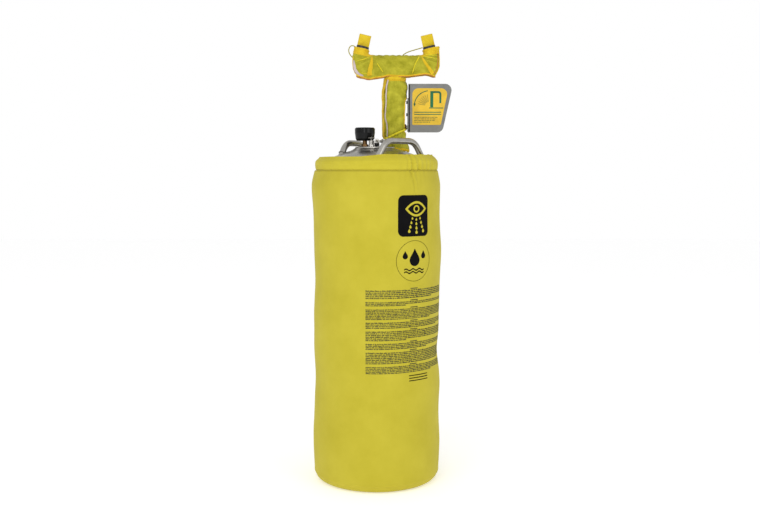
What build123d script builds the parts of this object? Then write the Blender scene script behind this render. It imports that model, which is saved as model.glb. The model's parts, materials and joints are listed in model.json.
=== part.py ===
"""Portable pressurised eyewash station.

A stainless tank stands in an insulating jacket. A riser with a stay-open flag valve carries a two-nozzle
spray head. Millimetres, +Z up, origin on the floor under the tank's axis, front towards -Y.
"""

import math
import os

from build123d import *

# Jacket: a foam-laminated bag round the tank
JACKET_R = 164.0
JACKET_WALL = 10.0
JACKET_FLOOR = 8.0
JACKET_CORNER = 25.0
JACKET_TOP = 812.0
HEM_TOP = 846.0
HEM_R = 153.4
HEM_WIDTH = 9.4
DRAWCORD_R = 1.9
SHOULDER = 700.0
BULGE = 765.0

# Tank: a 12 inch vessel with ellipsoidal heads
TANK_R = 152.4
TANK_WALL = 2.0
LOW_TANGENT = 100.0
LOW_HEAD = 70.0
TOP_TANGENT = 794.0
TOP_HEAD = 76.0
FOOT_R = 121.0
FOOT_WALL = 3.0

# Lift handles: bent tube, one each side of the lid
HANDLE_TUBE = 7.95
HANDLE_BORE = 6.45
HANDLE_FOOT = 822.0
HANDLE_BEND = 42.0
HANDLE_RUN = 45.0
# Each handle's direction from the tank's axis in degrees, its distance, height and bar's two ends
HANDLE_PLACES = {
    "left": (150.0, 66.0, 882.0, -36.0, 42.0),
    "right": (-45.0, 83.0, 886.0, -48.0, 54.0),
}

# Oval lid, clamped from inside by a bail
LID_X = -4.0
RING_OUT = (51.0, 46.0)
RING_IN = (42.0, 37.0)
RING_LOW = 856.0
RING_TOP = 872.0
LID_FLANGE = (47.0, 42.0)
LID_LOW = 846.0
LID_FLANGE_TOP = 850.0
CROWN = (40.0, 35.0)
CROWN_TOP = 870.0
LID_SHEET = 3.0
PIVOT_X = 1.0
PIVOT_Z = 886.0
BAIL_WIRE = 3.175
BAIL_FOOT_Y = 41.0
EAR_Y = 19.0
EAR_SHEET = 2.5
HANDLE_LOOP = (44.0, 7.5)

# Fittings on the lid
GAUGE = (-30.0, 0.0)
GAUGE_LOW = 888.0
GAUGE_TOP = 921.5
GAUGE_R = 26.0
GAUGE_WALL = 2.5
RELIEF = (-13.0, -24.0)
AIR = (18.0, 20.0)

# Riser and flag valve
RISER_X = 51.0
RISER_Y = 60.0
PIPE_R = 10.65
PIPE_BORE = 7.9
VALVE_Z = 925.0
VALVE_R = 21.0
BALL_R = 13.0
STEM_R = 5.0
FLAG_X = 84.0
FLAG_SHEET = 2.5
FLAG_LOW = 911.0
FLAG_TOP = 1037.5
FLAG_FRONT = 46.0

# Spray head
HEAD_Z = 1082.0
ELBOW_OUT = 99.0
ELBOW_R = 13.5
# Each socket is this much slimmer than the ball it joins, so that no two faces touch along a line only
ELBOW_STEP = 0.02
NOZZLE_TILT = 13.0
NOZZLE_R = 15.0
NOZZLE_TOP = 48.0
CAP_GAP = 0.3
CAP_WALL = 1.2
TAB_SIZE = 31.0
TAB_THICK = 6.0

# Fabric round the riser and the head
SLEEVE_X = 48.0
SLEEVE = (31.0, 30.0)
SLEEVE_LOW = 873.0
SLEEVE_TOP = 1056.0
FABRIC = 2.0
COVER_X = (-64.0, 166.5)
COVER_HALF_Y = 28.0
COVER_LOW = 1058.0
COVER_TOP = 1113.0
CUFF_R = 20.5
TETHER_R = 1.25

CLEAR = 0.3
SIDES = {"left": -1, "right": 1}

RISER = Plane(origin=(RISER_X, RISER_Y, 0))
SLEEVE_PLANE = Plane(origin=(SLEEVE_X, RISER_Y, 0))
LID = Plane(origin=(LID_X, 0, 0))


def upright(x, y):
    """The floor-level plane on a vertical axis through (x, y)."""
    return Plane(origin=(x, y, 0))


def nozzle_plane(side):
    """A plane at the elbow's centre whose normal is the nozzle's axis, which leans towards the middle."""
    lean = math.radians(NOZZLE_TILT)
    return Plane(
        origin=(RISER_X + side * ELBOW_OUT, RISER_Y, HEAD_Z),
        x_dir=(math.cos(lean), 0, side * math.sin(lean)),
        z_dir=(-side * math.sin(lean), 0, math.cos(lean)),
    )


def nozzle_section(side):
    """A plane through the nozzle's axis: local x is the radius and local y runs along the axis."""
    along = nozzle_plane(side)
    return Plane(origin=along.origin, x_dir=along.x_dir, z_dir=(0, -1, 0))


def vessel(wall):
    """The tank's outside, or its inside when a wall is taken off."""
    with BuildPart() as solid:
        with BuildSketch(Plane.XZ):
            with BuildLine():
                low = EllipticalCenterArc((0, LOW_TANGENT), TANK_R - wall, LOW_HEAD - wall, -90, arc_size=90)
                top = EllipticalCenterArc((0, TOP_TANGENT), TANK_R - wall, TOP_HEAD - wall, 0, arc_size=90)
                Line(low @ 1, top @ 0)
                Line(top @ 1, low @ 0)
            make_face()
        revolve(axis=Axis.Z)
    return solid.part


def tube_along(points, radii, radius):
    """A round cord along straight runs joined by tangent arcs."""
    with BuildPart() as cord:
        with BuildLine():
            path = FilletPolyline(*points, radius=radii)
        with BuildSketch(Plane(origin=path @ 0, z_dir=path % 0)):
            Circle(radius)
        sweep()
    return cord.part, path.length


def arc_radii(points, share=0.45):
    """Each corner's radius: a share of its shorter run over the tangent of half its turn."""
    places = [Vector(*p) for p in points]
    radii = []
    for before, here, after in zip(places, places[1:], places[2:]):
        turn = math.radians((here - before).get_angle(after - here))
        shorter = min((here - before).length, (after - here).length)
        radii.append(share * shorter / math.tan(turn / 2))
    return radii


os.makedirs("parts", exist_ok=True)

# ---------------------------------------------------------------- jacket

with BuildPart() as jacket_side:
    with BuildSketch(Plane.XZ):
        with BuildLine():
            inner = JACKET_R - JACKET_WALL
            start = (JACKET_R - JACKET_CORNER, 0)
            corner = RadiusArc(start, (JACKET_R, JACKET_CORNER), -JACKET_CORNER)
            straight = Line(corner @ 1, (JACKET_R, SHOULDER))
            bulge = ThreePointArc(straight @ 1, (JACKET_R + 1, BULGE), (JACKET_R - 5.5, JACKET_TOP))
            Polyline(
                bulge @ 1,
                (inner - 4.5, JACKET_TOP),
                (inner, TOP_TANGENT),
                (inner, JACKET_FLOOR),
                (JACKET_R - JACKET_CORNER, JACKET_FLOOR),
                start,
            )
        make_face()
    revolve(axis=Axis.Z)
jacket_side.part.label = "jacket_side"
export_step(jacket_side.part, "parts/jacket_side.step")

with BuildPart() as jacket_bottom:
    with BuildSketch():
        Circle(JACKET_R - JACKET_CORNER)
    extrude(amount=JACKET_FLOOR)
jacket_bottom.part.label = "jacket_bottom"
export_step(jacket_bottom.part, "parts/jacket_bottom.step")

with BuildPart() as jacket_hem:
    with BuildSketch(Plane.XZ):
        with Locations((HEM_R, (JACKET_TOP + HEM_TOP) / 2)):
            RectangleRounded(HEM_WIDTH, HEM_TOP - JACKET_TOP, 4)
            RectangleRounded(HEM_WIDTH - 4.8, HEM_TOP - JACKET_TOP - 12, 2.2, mode=Mode.SUBTRACT)
    revolve(axis=Axis.Z)
jacket_hem.part.label = "jacket_hem"
export_step(jacket_hem.part, "parts/jacket_hem.step")

with BuildPart() as hem_drawcord:
    with BuildSketch(Plane.XZ):
        with Locations((HEM_R, JACKET_TOP + 10)):
            Circle(DRAWCORD_R)
    revolve(axis=Axis.Z)
hem_drawcord.part.label = "hem_drawcord"
export_step(hem_drawcord.part, "parts/hem_drawcord.step")

# ---------------------------------------------------------------- tank

tank_outside = vessel(0)
BUSHING_R = 17.0

with BuildPart() as tank_shell:
    add(tank_outside)
    add(vessel(TANK_WALL), mode=Mode.SUBTRACT)
    with BuildSketch(LID.offset(TOP_TANGENT)):
        Ellipse(*RING_OUT)
    extrude(amount=TOP_HEAD + 10, mode=Mode.SUBTRACT)
    with BuildSketch(RISER.offset(TOP_TANGENT)):
        Circle(BUSHING_R)
    extrude(amount=TOP_HEAD + 10, mode=Mode.SUBTRACT)
tank_shell.part.label = "tank_shell"
export_step(tank_shell.part, "parts/tank_shell.step")

with BuildPart() as foot_ring:
    with BuildSketch(Plane.XY.offset(JACKET_FLOOR)):
        Circle(FOOT_R)
        Circle(FOOT_R - FOOT_WALL, mode=Mode.SUBTRACT)
    extrude(amount=LOW_TANGENT - JACKET_FLOOR)
    add(tank_outside, mode=Mode.SUBTRACT)
    split(bisect_by=Plane.XY.offset(LOW_TANGENT - LOW_HEAD / 2), keep=Keep.BOTTOM)
foot_ring.part.label = "foot_ring"
export_step(foot_ring.part, "parts/foot_ring.step")

with BuildPart() as neck_ring:
    with BuildSketch(LID.offset(RING_LOW)):
        Ellipse(*RING_OUT)
        Ellipse(*RING_IN, mode=Mode.SUBTRACT)
    extrude(amount=RING_TOP - RING_LOW)
    fillet(neck_ring.edges().group_by(Axis.Z)[-1], 1.5)
neck_ring.part.label = "neck_ring"
export_step(neck_ring.part, "parts/neck_ring.step")

for side, (turn, off_axis, height, bar_from, bar_to) in HANDLE_PLACES.items():
    out = (math.cos(math.radians(turn)), math.sin(math.radians(turn)), 0)
    plane = Plane(
        origin=(out[0] * off_axis, out[1] * off_axis, 0),
        x_dir=(-out[1], out[0], 0),
        z_dir=out,
    )
    with BuildPart() as lift_handle:
        with BuildLine(plane):
            bend = FilletPolyline(
                (bar_from - HANDLE_RUN, HANDLE_FOOT),
                (bar_from, height),
                (bar_to, height),
                (bar_to + HANDLE_RUN, HANDLE_FOOT),
                radius=HANDLE_BEND,
            )
        with BuildSketch(Plane(origin=bend @ 0, z_dir=bend % 0)):
            Circle(HANDLE_TUBE)
            Circle(HANDLE_BORE, mode=Mode.SUBTRACT)
        sweep()
        add(tank_outside, mode=Mode.SUBTRACT)
    lift_handle.part.label = f"lift_handle_{side}"
    export_step(lift_handle.part, f"parts/lift_handle_{side}.step")

# ---------------------------------------------------------------- lid and bail

with BuildPart() as lid_plate:
    with BuildSketch(LID.offset(LID_LOW)):
        Ellipse(*LID_FLANGE)
    extrude(amount=LID_FLANGE_TOP - LID_LOW)
    with BuildSketch(LID.offset(LID_LOW)):
        Ellipse(*CROWN)
    extrude(amount=CROWN_TOP - LID_LOW)
    with BuildSketch(LID.offset(LID_LOW)):
        Ellipse(CROWN[0] - LID_SHEET, CROWN[1] - LID_SHEET)
    extrude(amount=CROWN_TOP - LID_LOW - LID_SHEET, mode=Mode.SUBTRACT)
    with BuildSketch(Plane.XY.offset(LID_LOW)):
        with Locations(GAUGE):
            Circle(5)
        with Locations(RELIEF):
            Circle(4)
        with Locations(AIR):
            Circle(3.85)
    extrude(amount=CROWN_TOP, mode=Mode.SUBTRACT)
    fillet(lid_plate.edges().filter_by_position(Axis.Z, CROWN_TOP, CROWN_TOP).sort_by(SortBy.LENGTH)[-1], 2)
lid_plate.part.label = "lid_plate"
export_step(lid_plate.part, "parts/lid_plate.step")

with BuildPart() as lid_gasket:
    with BuildSketch(LID.offset(LID_FLANGE_TOP)):
        Ellipse(LID_FLANGE[0] - 0.5, LID_FLANGE[1] - 0.5)
        Ellipse(LID_FLANGE[0] - 6.0, LID_FLANGE[1] - 6.0, mode=Mode.SUBTRACT)
    extrude(amount=RING_LOW - LID_FLANGE_TOP)
    fillet(lid_gasket.edges(), 2)
lid_gasket.part.label = "lid_gasket"
export_step(lid_gasket.part, "parts/lid_gasket.step")

with BuildPart() as bail_bracket:
    with BuildSketch(Plane.XY.offset(CROWN_TOP)):
        with Locations((PIVOT_X, 0)):
            Rectangle(14, 2 * (EAR_Y + EAR_SHEET))
    extrude(amount=2.5)
    for sign in (-1, 1):
        with BuildSketch(Plane.XZ.offset(-sign * EAR_Y - (EAR_SHEET if sign > 0 else 0))):
            with Locations((PIVOT_X, (CROWN_TOP + PIVOT_Z) / 2)):
                Rectangle(14, PIVOT_Z - CROWN_TOP)
            with Locations((PIVOT_X, PIVOT_Z)):
                Circle(7)
        extrude(amount=EAR_SHEET if sign > 0 else -EAR_SHEET)
    with BuildSketch(Plane.XZ):
        with Locations((PIVOT_X, PIVOT_Z)):
            Circle(BAIL_WIRE + 0.05)
    extrude(amount=60, both=True, mode=Mode.SUBTRACT)
bail_bracket.part.label = "bail_bracket"
export_step(bail_bracket.part, "parts/bail_bracket.step")

with BuildPart() as bail_wire:
    with BuildLine():
        loop_x, loop_y = HANDLE_LOOP
        bail_path = FilletPolyline(
            (PIVOT_X, -BAIL_FOOT_Y, RING_TOP + 3),
            (PIVOT_X, -BAIL_FOOT_Y, PIVOT_Z),
            (PIVOT_X, -loop_y, PIVOT_Z),
            (loop_x, -loop_y, PIVOT_Z + 2),
            (loop_x, loop_y, PIVOT_Z + 2),
            (PIVOT_X, loop_y, PIVOT_Z),
            (PIVOT_X, BAIL_FOOT_Y, PIVOT_Z),
            (PIVOT_X, BAIL_FOOT_Y, RING_TOP + 3),
            radius=5.5,
        )
    with BuildSketch(Plane(origin=bail_path @ 0, z_dir=bail_path % 0)):
        Circle(BAIL_WIRE)
    sweep()
bail_wire.part.label = "bail_wire"
export_step(bail_wire.part, "parts/bail_wire.step")

with BuildPart() as bail_feet:
    with BuildSketch(Plane.XY.offset(RING_TOP + 2 * CLEAR)):
        with Locations((PIVOT_X, -BAIL_FOOT_Y), (PIVOT_X, BAIL_FOOT_Y)):
            Circle(6)
    extrude(amount=8)
    fillet(bail_feet.edges().group_by(Axis.Z)[0], 4.5)
    with BuildSketch(Plane.XY.offset(RING_TOP + 3)):
        with Locations((PIVOT_X, -BAIL_FOOT_Y), (PIVOT_X, BAIL_FOOT_Y)):
            Circle(BAIL_WIRE)
    extrude(amount=20, mode=Mode.SUBTRACT)
bail_feet.part.label = "bail_feet"
export_step(bail_feet.part, "parts/bail_feet.step")

# ---------------------------------------------------------------- pressure gauge

gauge_plane = upright(*GAUGE)

with BuildPart() as gauge_stem:
    with BuildSketch(gauge_plane.offset(CROWN_TOP - 8)):
        Circle(5)
    extrude(amount=8)
    with BuildSketch(gauge_plane.offset(CROWN_TOP)):
        RegularPolygon(8.5, 6)
    extrude(amount=9)
    with BuildSketch(gauge_plane.offset(CROWN_TOP)):
        Circle(6)
    extrude(amount=GAUGE_LOW - CROWN_TOP)
    with BuildSketch(gauge_plane.offset(CROWN_TOP - 8)):
        Circle(2)
    extrude(amount=40, mode=Mode.SUBTRACT)
gauge_stem.part.label = "gauge_stem"
export_step(gauge_stem.part, "parts/gauge_stem.step")

gauge_section = Plane(origin=(*GAUGE, 0), x_dir=(1, 0, 0), z_dir=(0, -1, 0))
gauge_axis = Axis((*GAUGE, 0), (0, 0, 1))
with BuildPart() as gauge_case:
    with BuildSketch(gauge_section):
        with BuildLine():
            Polyline(
                (0, GAUGE_LOW),
                (GAUGE_R - 5, GAUGE_LOW),
                (GAUGE_R - 2, GAUGE_LOW + 5),
                (GAUGE_R, GAUGE_LOW + 20),
                (GAUGE_R, GAUGE_TOP - 3),
                (GAUGE_R - 2, GAUGE_TOP),
                (GAUGE_R - 4, GAUGE_TOP),
                (GAUGE_R - 4, GAUGE_TOP - 3),
                (GAUGE_R - GAUGE_WALL, GAUGE_TOP - 3),
                (GAUGE_R - GAUGE_WALL - 2, GAUGE_LOW + 7),
                (GAUGE_R - GAUGE_WALL - 4, GAUGE_LOW + 3),
                (0, GAUGE_LOW + 3),
                close=True,
            )
        make_face()
    revolve(axis=gauge_axis)
gauge_case.part.label = "gauge_case"
export_step(gauge_case.part, "parts/gauge_case.step")

with BuildPart() as gauge_lens:
    with BuildSketch(gauge_plane.offset(GAUGE_TOP - 5.2)):
        Circle(GAUGE_R - GAUGE_WALL - 0.4)
    extrude(amount=2)
gauge_lens.part.label = "gauge_lens"
export_step(gauge_lens.part, "parts/gauge_lens.step")

with BuildPart() as gauge_dial:
    with BuildSketch(gauge_plane.offset(GAUGE_TOP - 11)):
        Circle(GAUGE_R - GAUGE_WALL - 1)
        Circle(1.4, mode=Mode.SUBTRACT)
    extrude(amount=0.8)
gauge_dial.part.label = "gauge_dial"
export_step(gauge_dial.part, "parts/gauge_dial.step")

with BuildPart() as gauge_movement:
    with BuildSketch(gauge_plane.offset(GAUGE_LOW + 3)):
        Circle(16)
        Circle(12, mode=Mode.SUBTRACT)
        Rectangle(26, 7)
        Circle(1.4, mode=Mode.SUBTRACT)
    extrude(amount=GAUGE_TOP - GAUGE_LOW - 14.2)
gauge_movement.part.label = "gauge_movement"
export_step(gauge_movement.part, "parts/gauge_movement.step")

with BuildPart() as gauge_needle:
    with BuildSketch(gauge_plane.offset(GAUGE_TOP - 9.4)):
        with BuildLine():
            Polyline((-9, -1.1), (-9, 1.1), (3, 1.1), (18, 0.25), (18, -0.25), (3, -1.1), close=True)
        make_face()
        Circle(2.6)
    extrude(amount=1.2)
    with BuildSketch(gauge_plane.offset(GAUGE_TOP - 20)):
        Circle(1.3)
    extrude(amount=11)
gauge_needle.part.label = "gauge_needle"
export_step(gauge_needle.part, "parts/gauge_needle.step")

# ---------------------------------------------------------------- relief valve

relief_plane = upright(*RELIEF)
RELIEF_TOP = CROWN_TOP + 18

with BuildPart() as relief_body:
    with BuildSketch(relief_plane.offset(CROWN_TOP - 7)):
        Circle(4)
    extrude(amount=7)
    with BuildSketch(relief_plane.offset(CROWN_TOP)):
        RegularPolygon(8, 6)
    extrude(amount=7)
    with BuildSketch(relief_plane.offset(CROWN_TOP)):
        Circle(6.8)
    extrude(amount=RELIEF_TOP - CROWN_TOP)
    fillet(relief_body.edges().group_by(Axis.Z)[-1], 1)
    with BuildSketch(relief_plane.offset(CROWN_TOP + 3)):
        Circle(5.2)
    extrude(amount=RELIEF_TOP - CROWN_TOP - 5, mode=Mode.SUBTRACT)
    with BuildSketch(relief_plane.offset(CROWN_TOP - 7)):
        Circle(2.2)
    extrude(amount=40, mode=Mode.SUBTRACT)
relief_body.part.label = "relief_body"
export_step(relief_body.part, "parts/relief_body.step")

with BuildPart() as relief_stem:
    with BuildSketch(relief_plane.offset(CROWN_TOP + 3 + CLEAR)):
        Circle(4.8)
    extrude(amount=2)
    with BuildSketch(relief_plane.offset(CROWN_TOP + 3 + CLEAR)):
        Circle(1.4)
    extrude(amount=18.6)
    with BuildSketch(Plane(origin=(*RELIEF, RELIEF_TOP + 6), z_dir=(1, 0, 0))):
        Circle(3.4)
        Circle(1.5, mode=Mode.SUBTRACT)
    extrude(amount=1.7, both=True)
relief_stem.part.label = "relief_stem"
export_step(relief_stem.part, "parts/relief_stem.step")

with BuildPart() as relief_spring:
    spring_low = CROWN_TOP + 5.9 + CLEAR
    with BuildLine():
        height = RELIEF_TOP - 3.2 - spring_low
        coil = Helix(pitch=1.9, height=height, radius=3.4, center=(*RELIEF, spring_low))
    with BuildSketch(Plane(origin=coil @ 0, z_dir=coil % 0)):
        Circle(0.5)
    sweep(is_frenet=True)
relief_spring.part.label = "relief_spring"
export_step(relief_spring.part, "parts/relief_spring.step")

with BuildPart() as relief_ring:
    ring_middle = (RELIEF[0], RELIEF[1] - 8, RELIEF_TOP + 6)
    with BuildSketch(Plane(origin=ring_middle, x_dir=(0, 1, 0), z_dir=(1, 0, 0))):
        with Locations((8, 0)):
            Circle(1.1)
    revolve(axis=Axis(ring_middle, (0, 0, 1)))
relief_ring.part.label = "relief_ring"
export_step(relief_ring.part, "parts/relief_ring.step")

# ---------------------------------------------------------------- air fill valve

air_plane = upright(*AIR)
AIR_STEM_LOW = CROWN_TOP + 8
AIR_STEM_TOP = CROWN_TOP + 20

with BuildPart() as air_valve_body:
    with BuildSketch(air_plane.offset(CROWN_TOP - 7)):
        Circle(3.85)
    extrude(amount=AIR_STEM_TOP - CROWN_TOP + 7)
    with BuildSketch(air_plane.offset(CROWN_TOP)):
        RegularPolygon(6.2, 6)
    extrude(amount=AIR_STEM_LOW - CROWN_TOP)
    with BuildSketch(air_plane.offset(CROWN_TOP - 7)):
        Circle(1.2)
    extrude(amount=60, mode=Mode.SUBTRACT)
    with BuildSketch(air_plane.offset(AIR_STEM_TOP - 9)):
        Circle(2.5)
    extrude(amount=20, mode=Mode.SUBTRACT)
air_valve_body.part.label = "air_valve_body"
export_step(air_valve_body.part, "parts/air_valve_body.step")

with BuildPart() as air_valve_core:
    with BuildSketch(air_plane.offset(AIR_STEM_TOP - 9 + 2)):
        Circle(0.8)
    extrude(amount=6.5)
    with BuildSketch(air_plane.offset(AIR_STEM_TOP - 9 + 2)):
        Circle(2.1)
    extrude(amount=2)
air_valve_core.part.label = "air_valve_core"
export_step(air_valve_core.part, "parts/air_valve_core.step")

with BuildPart() as air_valve_cap:
    with BuildSketch(air_plane.offset(AIR_STEM_LOW + CLEAR)):
        Circle(5.3)
    extrude(amount=AIR_STEM_TOP - AIR_STEM_LOW + 2.5)
    fillet(air_valve_cap.edges().group_by(Axis.Z)[-1], 1)
    with BuildSketch(air_plane.offset(AIR_STEM_LOW)):
        Circle(3.85 + CLEAR)
    extrude(amount=AIR_STEM_TOP - AIR_STEM_LOW + 1, mode=Mode.SUBTRACT)
air_valve_cap.part.label = "air_valve_cap"
export_step(air_valve_cap.part, "parts/air_valve_cap.step")

# ---------------------------------------------------------------- riser, dip tube, valve

BUSHING_LOW = 846.0
BUSHING_TOP = 876.0
DIP_R = 6.35
DIP_LOW = 66.0
SOCKET = 8.0
VALVE_HALF = 23.0

with BuildPart() as riser_bushing:
    with BuildSketch(RISER.offset(BUSHING_LOW)):
        Circle(BUSHING_R)
    extrude(amount=BUSHING_TOP - 8 - BUSHING_LOW)
    with BuildSketch(RISER.offset(BUSHING_TOP - 8)):
        RegularPolygon(BUSHING_R, 6)
    extrude(amount=8)
    with BuildSketch(RISER.offset(BUSHING_LOW)):
        Circle(DIP_R)
    extrude(amount=40, mode=Mode.SUBTRACT)
    with BuildSketch(RISER.offset(BUSHING_LOW + 16)):
        Circle(PIPE_R)
    extrude(amount=40, mode=Mode.SUBTRACT)
riser_bushing.part.label = "riser_bushing"
export_step(riser_bushing.part, "parts/riser_bushing.step")

with BuildPart() as dip_tube:
    with BuildSketch(RISER.offset(DIP_LOW)):
        Circle(DIP_R)
        Circle(DIP_R - 1.2, mode=Mode.SUBTRACT)
    extrude(amount=BUSHING_LOW + 14 - DIP_LOW)
dip_tube.part.label = "dip_tube"
export_step(dip_tube.part, "parts/dip_tube.step")

with BuildPart() as strainer:
    with BuildSketch(RISER.offset(DIP_LOW - 14)):
        Circle(9.5)
    extrude(amount=26)
    with BuildSketch(RISER.offset(DIP_LOW - 12)):
        Circle(8)
    extrude(amount=12, mode=Mode.SUBTRACT)
    with BuildSketch(RISER.offset(DIP_LOW)):
        Circle(DIP_R)
    extrude(amount=20, mode=Mode.SUBTRACT)
    with BuildSketch(RISER.offset(DIP_LOW - 10)):
        with PolarLocations(0, 3):
            Rectangle(30, 3)
    extrude(amount=6, mode=Mode.SUBTRACT)
strainer.part.label = "strainer"
export_step(strainer.part, "parts/strainer.step")

for name, low, top in (
    ("riser_pipe_lower", BUSHING_LOW + 16, VALVE_Z - VALVE_HALF + SOCKET),
    ("riser_pipe_upper", VALVE_Z + VALVE_HALF - SOCKET, HEAD_Z - 12),
):
    with BuildPart() as pipe:
        with BuildSketch(RISER.offset(low)):
            Circle(PIPE_R)
            Circle(PIPE_BORE, mode=Mode.SUBTRACT)
        extrude(amount=top - low)
    pipe.part.label = name
    export_step(pipe.part, f"parts/{name}.step")

valve_centre = (RISER_X, RISER_Y, VALVE_Z)
stem_plane = Plane(origin=valve_centre, x_dir=(0, 1, 0), z_dir=(1, 0, 0))

with BuildPart() as valve_body:
    with BuildSketch(RISER.offset(VALVE_Z - VALVE_HALF)):
        Circle(VALVE_R - 4)
    extrude(amount=2 * VALVE_HALF)
    with BuildSketch(RISER.offset(VALVE_Z - VALVE_HALF + 7)):
        Circle(VALVE_R)
    extrude(amount=2 * VALVE_HALF - 14)
    fillet(valve_body.edges().filter_by(GeomType.CIRCLE).filter_by(lambda e: abs(e.radius - VALVE_R) < 0.1), 3)
    with BuildSketch(stem_plane):
        Circle(8.5)
    extrude(amount=22)
    with BuildSketch(RISER.offset(VALVE_Z - VALVE_HALF)):
        Circle(7)
    extrude(amount=2 * VALVE_HALF, mode=Mode.SUBTRACT)
    with BuildSketch(RISER.offset(VALVE_Z - 12)):
        Circle(10.5)
    extrude(amount=24, mode=Mode.SUBTRACT)
    for low in (VALVE_Z - VALVE_HALF, VALVE_Z + VALVE_HALF - SOCKET):
        with BuildSketch(RISER.offset(low)):
            Circle(PIPE_R)
        extrude(amount=SOCKET, mode=Mode.SUBTRACT)
    with Locations(valve_centre):
        Sphere(BALL_R + 0.3, mode=Mode.SUBTRACT)
    with BuildSketch(stem_plane):
        Circle(STEM_R + 0.06)
    extrude(amount=40, mode=Mode.SUBTRACT)
valve_body.part.label = "valve_body"
export_step(valve_body.part, "parts/valve_body.step")

with BuildPart() as valve_seats:
    for low in (VALVE_Z - 12, VALVE_Z + 8):
        with BuildSketch(RISER.offset(low)):
            Circle(10.5)
            Circle(7, mode=Mode.SUBTRACT)
        extrude(amount=4)
    with Locations(valve_centre):
        Sphere(BALL_R + 0.08, mode=Mode.SUBTRACT)
valve_seats.part.label = "valve_seats"
export_step(valve_seats.part, "parts/valve_seats.step")

with BuildPart() as packing_nut:
    with BuildSketch(stem_plane.offset(22)):
        RegularPolygon(9.2, 6)
        Circle(STEM_R + 0.06, mode=Mode.SUBTRACT)
    extrude(amount=5)
packing_nut.part.label = "packing_nut"
export_step(packing_nut.part, "parts/packing_nut.step")

STEM_START = 9.0
with BuildPart() as valve_ball:
    with Locations(valve_centre):
        Sphere(BALL_R)
    with BuildSketch(Plane(origin=valve_centre, z_dir=(0, 1, 0))):
        Circle(6.5)
    extrude(amount=20, both=True, mode=Mode.SUBTRACT)
    with BuildSketch(stem_plane.offset(STEM_START)):
        Circle(STEM_R)
    extrude(amount=20, mode=Mode.SUBTRACT)
valve_ball.part.label = "valve_ball"
export_step(valve_ball.part, "parts/valve_ball.step")

ARM_START = FLAG_X - RISER_X - FLAG_SHEET
with BuildPart() as valve_stem:
    with BuildSketch(stem_plane.offset(STEM_START)):
        Circle(STEM_R)
    extrude(amount=ARM_START - STEM_START)
    with BuildSketch(stem_plane.offset(ARM_START)):
        Circle(4)
    extrude(amount=2 * FLAG_SHEET + 7)
valve_stem.part.label = "valve_stem"
export_step(valve_stem.part, "parts/valve_stem.step")

SCREW_RISE = (33.0, 65.0)
with BuildPart() as lever_arm:
    with BuildSketch(stem_plane.offset(ARM_START)):
        with BuildLine():
            Polyline((-9, -12), (9, -12), (9, 76), (-9, 76), close=True)
        make_face()
        Circle(4, mode=Mode.SUBTRACT)
        with Locations(*[(0, rise) for rise in SCREW_RISE]):
            Circle(2.5, mode=Mode.SUBTRACT)
    extrude(amount=FLAG_SHEET)
    fillet(lever_arm.edges().filter_by(Axis.X), 5)
lever_arm.part.label = "lever_arm"
export_step(lever_arm.part, "parts/lever_arm.step")

with BuildPart() as flag_plate:
    with BuildSketch(Plane.XZ.offset(-FLAG_FRONT)):
        with BuildLine():
            Polyline((FLAG_X, FLAG_LOW), (173, FLAG_LOW), (201, FLAG_TOP), (FLAG_X, FLAG_TOP), close=True)
        make_face()
    extrude(amount=-FLAG_SHEET)
    fillet(flag_plate.edges().filter_by(Axis.Y).group_by(Axis.X)[1:], 17)
    with BuildSketch(Plane.YZ.offset(FLAG_X)):
        with Locations((FLAG_FRONT + 12.5, (FLAG_LOW + FLAG_TOP) / 2)):
            Rectangle(25, FLAG_TOP - FLAG_LOW)
    extrude(amount=FLAG_SHEET)
    fillet(flag_plate.edges().filter_by(Axis.X).group_by(Axis.Y)[-1], 6)
    with BuildSketch(stem_plane.offset(FLAG_X - RISER_X)):
        Circle(4)
        with Locations(*[(0, rise) for rise in SCREW_RISE]):
            Circle(2.5)
    extrude(amount=FLAG_SHEET, mode=Mode.SUBTRACT)
flag_plate.part.label = "flag_plate"
export_step(flag_plate.part, "parts/flag_plate.step")

with BuildPart() as flag_label:
    with BuildSketch(Plane.XZ.offset(-FLAG_FRONT)):
        with BuildLine():
            Polyline((94, 930.5), (169, 930.5), (189, 1026), (94, 1026), close=True)
        make_face()
    extrude(amount=0.5)
    fillet(flag_label.edges().filter_by(Axis.Y).group_by(Axis.Z)[-1], 16)
    fillet(flag_label.edges().filter_by(Axis.Y).group_by(Axis.Z)[0], 3)
flag_label.part.label = "flag_label"
export_step(flag_label.part, "parts/flag_label.step")

with BuildPart() as stem_nut:
    with BuildSketch(stem_plane.offset(ARM_START + 2 * FLAG_SHEET)):
        RegularPolygon(7.5, 6)
        Circle(4, mode=Mode.SUBTRACT)
    extrude(amount=5)
stem_nut.part.label = "stem_nut"
export_step(stem_nut.part, "parts/stem_nut.step")

with BuildPart() as flag_screws:
    for rise in SCREW_RISE:
        with BuildSketch(stem_plane.offset(ARM_START - 3)):
            with Locations((0, rise)):
                RegularPolygon(4.6, 6)
        extrude(amount=3)
        with BuildSketch(stem_plane.offset(ARM_START)):
            with Locations((0, rise)):
                Circle(2.5)
        extrude(amount=2 * FLAG_SHEET)
        with BuildSketch(stem_plane.offset(ARM_START + 2 * FLAG_SHEET)):
            with Locations((0, rise)):
                Circle(4.7)
        extrude(amount=2.6)
flag_screws.part.label = "flag_screws"
export_step(flag_screws.part, "parts/flag_screws.step")

# ---------------------------------------------------------------- spray head

TEE_HALF = 28.0
YOKE_FROM = 14.0
YOKE_TO = 87.0
BORE = 8.0
yoke_plane = Plane(origin=(RISER_X, RISER_Y, HEAD_Z), x_dir=(0, 1, 0), z_dir=(1, 0, 0))

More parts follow.
